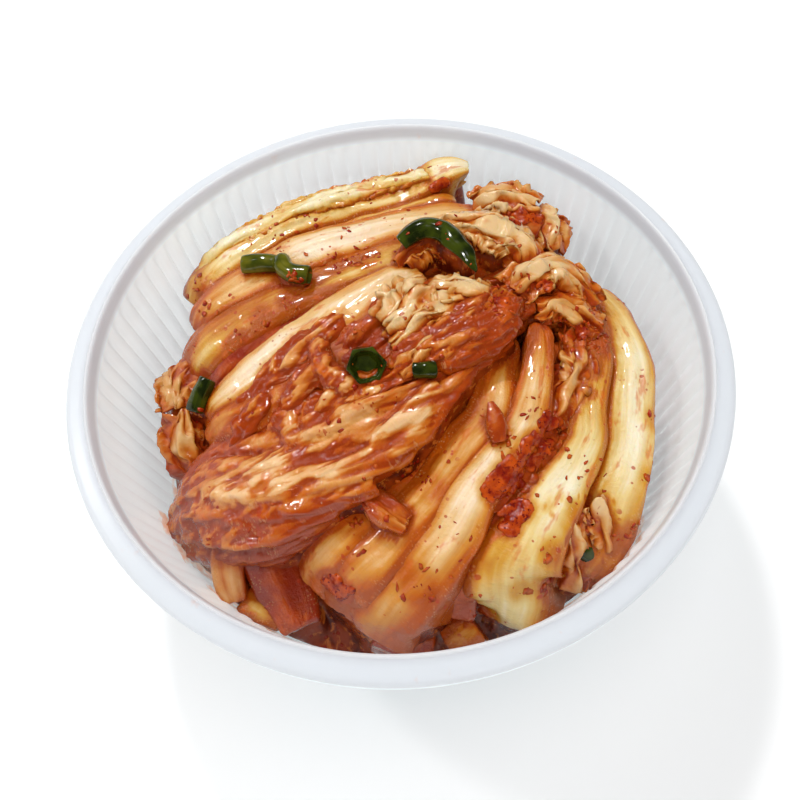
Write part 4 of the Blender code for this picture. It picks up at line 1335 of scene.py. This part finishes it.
def make_flakes(scattered):
    """Ground chilli: thin shards, thickest near the sauciest places, all one piece."""
    let_go()
    bpy.ops.mesh.primitive_ico_sphere_add(subdivisions=1, radius=0.5)
    shard = bpy.context.object
    shape = [vertex.co.copy() for vertex in shard.data.vertices]
    sides = [tuple(face.vertices) for face in shard.data.polygons]
    bpy.data.objects.remove(shard)
    corners, faces = [], []

    def drop(place, normal, largest):
        long = draw.uniform(0.4, 1.0) ** 2 * largest * MM
        size = Vector((long, long * draw.uniform(0.3, 0.9), 0.16 * MM))
        lie = normal.to_track_quat("Z", "Y").to_matrix()
        spin = Matrix.Rotation(draw.uniform(0, 2 * pi), 3, "Z") @ Matrix.Rotation(draw.uniform(-0.18, 0.18), 3, "X")
        base = len(corners)
        for point in shape:
            bent = Vector([point[axis] * size[axis] * draw.uniform(0.55, 1.4) for axis in range(3)])
            corners.append(place + normal * 0.02 * MM + lie @ (spin @ bent))
        faces.extend(tuple(base + corner for corner in face) for face in sides)

    placed = 0
    while placed < scattered:
        turn, reach = draw.uniform(0, 2 * pi), 56 * draw.random() ** 0.5
        place, normal = land(reach * cos(turn), reach * sin(turn), 44)
        if place is None or draw.random() > gathers(place):
            continue
        drop(place, normal, 1.9)
        placed += 1
    for x, y, height, spread, how_many in DRIFTS:
        for shard in range(how_many):
            turn, reach = draw.uniform(0, 2 * pi), spread * draw.random() ** 0.6
            place, normal = land(x + reach * cos(turn), y + reach * sin(turn), height)
            if place is not None:
                drop(place, normal, 2.3)
    mesh = bpy.data.meshes.new("chilli_flakes")
    mesh.from_pydata(corners, [], faces)
    mesh.shade_smooth()
    mesh.materials.append(chilli_flake)
    piece = bpy.data.objects.new("chilli_flakes", mesh)
    bpy.context.collection.objects.link(piece)
    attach(piece, "root")


def gathers(place):
    """How likely a flake is to lie here: flakes gather in drifts."""
    drift = field.noise(place * 110) * 0.5 + field.noise(place * 40) * 0.5
    return min(1.0, max(0.02, 0.12 + 2.4 * drift))


PASTE = [
    (27.5, -20.2, 45.5, 2.2), (24.4, -23.8, 45, 3.0), (21.2, -26.6, 44, 3.0), (18.1, -28.7, 43.5, 3.0),
    (15.4, -30.7, 43, 2.4), (19.2, -29.8, 43.5, 2.4), (18.8, -35.9, 43, 2.4), (20.2, -35.3, 43, 2.0),
    (17.7, -38, 42, 1.6), (30.7, 30.6, 48, 1.8), (28.3, 28.9, 48, 1.6), (33.7, 30.1, 48, 1.4),
    (-16.5, -42.4, 33, 1.8), (-13.9, -44.2, 32, 1.8), (12.8, 45, 46, 0.9), (14.8, 45.5, 46, 0.9),
    (31, 7.4, 53, 1.2), (21.5, 2.5, 55, 1.4), (37.5, -1.5, 48, 1.3),
]
DRIFTS = [
    (-11.5, 23.8, 47, 3.5, 16), (-4.9, 24.2, 47, 3.5, 14), (-19.4, 20.1, 46.5, 3, 10), (-27.9, 11.4, 45, 3, 10),
    (-33.8, 7.5, 44, 3, 9), (-21.7, 15.3, 46, 3, 9), (41, -3.5, 46, 3, 10), (39.5, -0.4, 47, 3, 10),
    (36, -2.4, 47, 3, 10), (33.5, 0.9, 48, 2.5, 8), (42.2, -38.9, 38, 2, 8), (38.6, -39.9, 38, 2.5, 10),
    (45, -31.4, 42, 2, 8), (48, -20, 43, 2, 6), (24, -41.6, 38, 2, 6), (18.4, -48.3, 36, 2, 7), (23.8, -48.3, 34, 2, 7),
    (-11.6, -34.4, 40, 3, 8), (0.9, -25.7, 43, 3, 8), (3.6, -29.1, 43, 3, 8), (-30, -33, 38, 2, 4),
    (-46, 12, 38, 3, 10), (-44, 27, 40, 2, 4), (20, 3, 55, 4, 14), (26, 8, 54, 3, 8), (28, 30, 48, 3, 8),
    (19, -24, 47, 3, 10), (25, -17, 47, 3, 8), (0, -46, 38, 4, 10), (12, -52, 28, 4, 10),
]


def make_paste():
    """Lumps of chilli paste, clotted together where they lie close."""
    bpy.ops.object.metaball_add(type="BALL", location=(0, 0, 0))
    ball = bpy.context.object
    clots = ball.data
    clots.resolution = clots.render_resolution = 0.42
    clots.elements.remove(clots.elements[0])
    for x, y, height, spread in PASTE:
        for lump in range(int(5 + 5 * spread)):
            turn, reach = draw.uniform(0, 2 * pi), spread * draw.random() ** 0.6
            place, normal = land(x + reach * cos(turn), y + reach * sin(turn), height)
            if place is None:
                continue
            bead = clots.elements.new(type="ELLIPSOID")
            bead.co = place / MM - normal * 0.15
            bead.radius = draw.uniform(1.2, 2.2)
            bead.size_x, bead.size_y, bead.size_z = 1.0, draw.uniform(0.5, 1.0), 0.42
            bead.rotation = normal.to_track_quat("Z", "Y") @ Quaternion((0, 0, 1), draw.uniform(0, pi))
    take(ball)
    bpy.ops.object.convert(target="MESH")
    piece = name_piece("chilli_paste")
    edit(piece)
    bpy.ops.mesh.select_all(action="SELECT")
    bpy.ops.transform.resize(value=(MM, MM, MM), center_override=(0, 0, 0))
    leave()
    roughen(piece, 0.7 * MM, 1.7 * MM, depth=2)
    piece.data.shade_smooth()
    piece.data.materials.append(chilli_paste)
    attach(piece, "root")


def spill_sauce():
    """Food is saucier close to the paste and under the drifts of chilli."""
    spills = [(x, y, height, spread * 0.8, 0.45) for x, y, height, spread in PASTE]
    spills += [(x, y, height, spread * 0.7, 0.2) for x, y, height, spread, how_many in DRIFTS]
    landed = []
    for x, y, height, spread, push in spills:
        place, normal = land(x, y, height)
        if place is not None:
            landed.append((place, spread * MM, push))
    tree = KDTree(len(landed))
    for number, (place, spread, push) in enumerate(landed):
        tree.insert(place, number)
    tree.balance()
    for piece in food:
        if "soaked" not in piece.data.attributes:
            continue
        soaked = piece.data.attributes["soaked"].data
        for vertex in piece.data.vertices:
            most = 0.0
            for place, number, distance in tree.find_range(vertex.co, 7 * MM):
                spread, push = landed[number][1:]
                most = max(most, push * min(1.0, max(0.0, 1 - (distance - spread) / (2 * MM))))
            if most:
                soaked[vertex.index].value += most


spill_sauce()
make_paste()
make_flakes(300)

# ---------------------------------------------------------------- floor, light, camera


def make_floor():
    let_go()
    bpy.ops.mesh.primitive_plane_add(size=6.0, location=(0, 0, 0))
    floor = name_piece("pale_floor")
    made, nodes, shader = new_material("pale floor")
    constants(shader, Roughness=0.8)
    shader.inputs["Base Color"].default_value = (0.92, 0.92, 0.92, 1)
    floor.data.materials.append(made)


def area_light(name, place, aim, size, power, colour=(1, 1, 1), mirrored=True):
    bpy.ops.object.light_add(type="AREA", location=place)
    lamp = bpy.context.object
    lamp.name = name
    lamp.data.shape = "RECTANGLE"
    lamp.data.size, lamp.data.size_y = size
    lamp.data.energy = power
    lamp.data.color = colour
    lamp.rotation_euler = (Vector(aim) - Vector(place)).to_track_quat("-Z", "Y").to_euler()
    lamp.visible_glossy = mirrored


make_floor()
area_light("back_softbox", (-0.12, 0.42, 0.62), (0, 0, 0.04), (0.07, 0.05), 2.1)
area_light("side_softbox", (-0.45, 0.16, 0.5), (0, 0, 0.04), (0.05, 0.05), 0.7)
area_light("top_softbox", (0.08, -0.05, 0.8), (0, 0, 0.04), (0.5, 0.5), 2.1, mirrored=False)
area_light("front_softbox", (-0.05, -0.6, 0.55), (0, 0, 0.04), (0.6, 0.4), 1.6, mirrored=False)


def make_studio():
    """Even pale light all round, which the wet food mirrors only faintly."""
    world = bpy.data.worlds.new("studio")
    bpy.context.scene.world = world
    world.use_nodes = True
    nodes = Nodes(world.node_tree)
    mirrored = nodes.add("LightPath").outputs["Is Glossy Ray"]
    strength = nodes.math("MULTIPLY_ADD", mirrored, -0.42, 0.46)
    background = world.node_tree.nodes["Background"]
    background.inputs["Color"].default_value = (1, 1, 1, 1)
    nodes.feed(background, "Strength", strength)


make_studio()

bpy.ops.object.camera_add()
camera = bpy.context.object
camera.name = "camera"
camera.data.sensor_width = 36.0
camera.data.lens = 31.717
camera.data.clip_start = 0.005
camera.matrix_world = (
    Matrix.Translation((-0.000135, -0.08083, 0.16544))
    @ Matrix.Rotation(radians(29.966), 4, "X")
    @ Matrix.Rotation(radians(-5.314), 4, "Z")
)
bpy.context.scene.camera = camera
bpy.context.scene.view_settings.view_transform = "Standard"
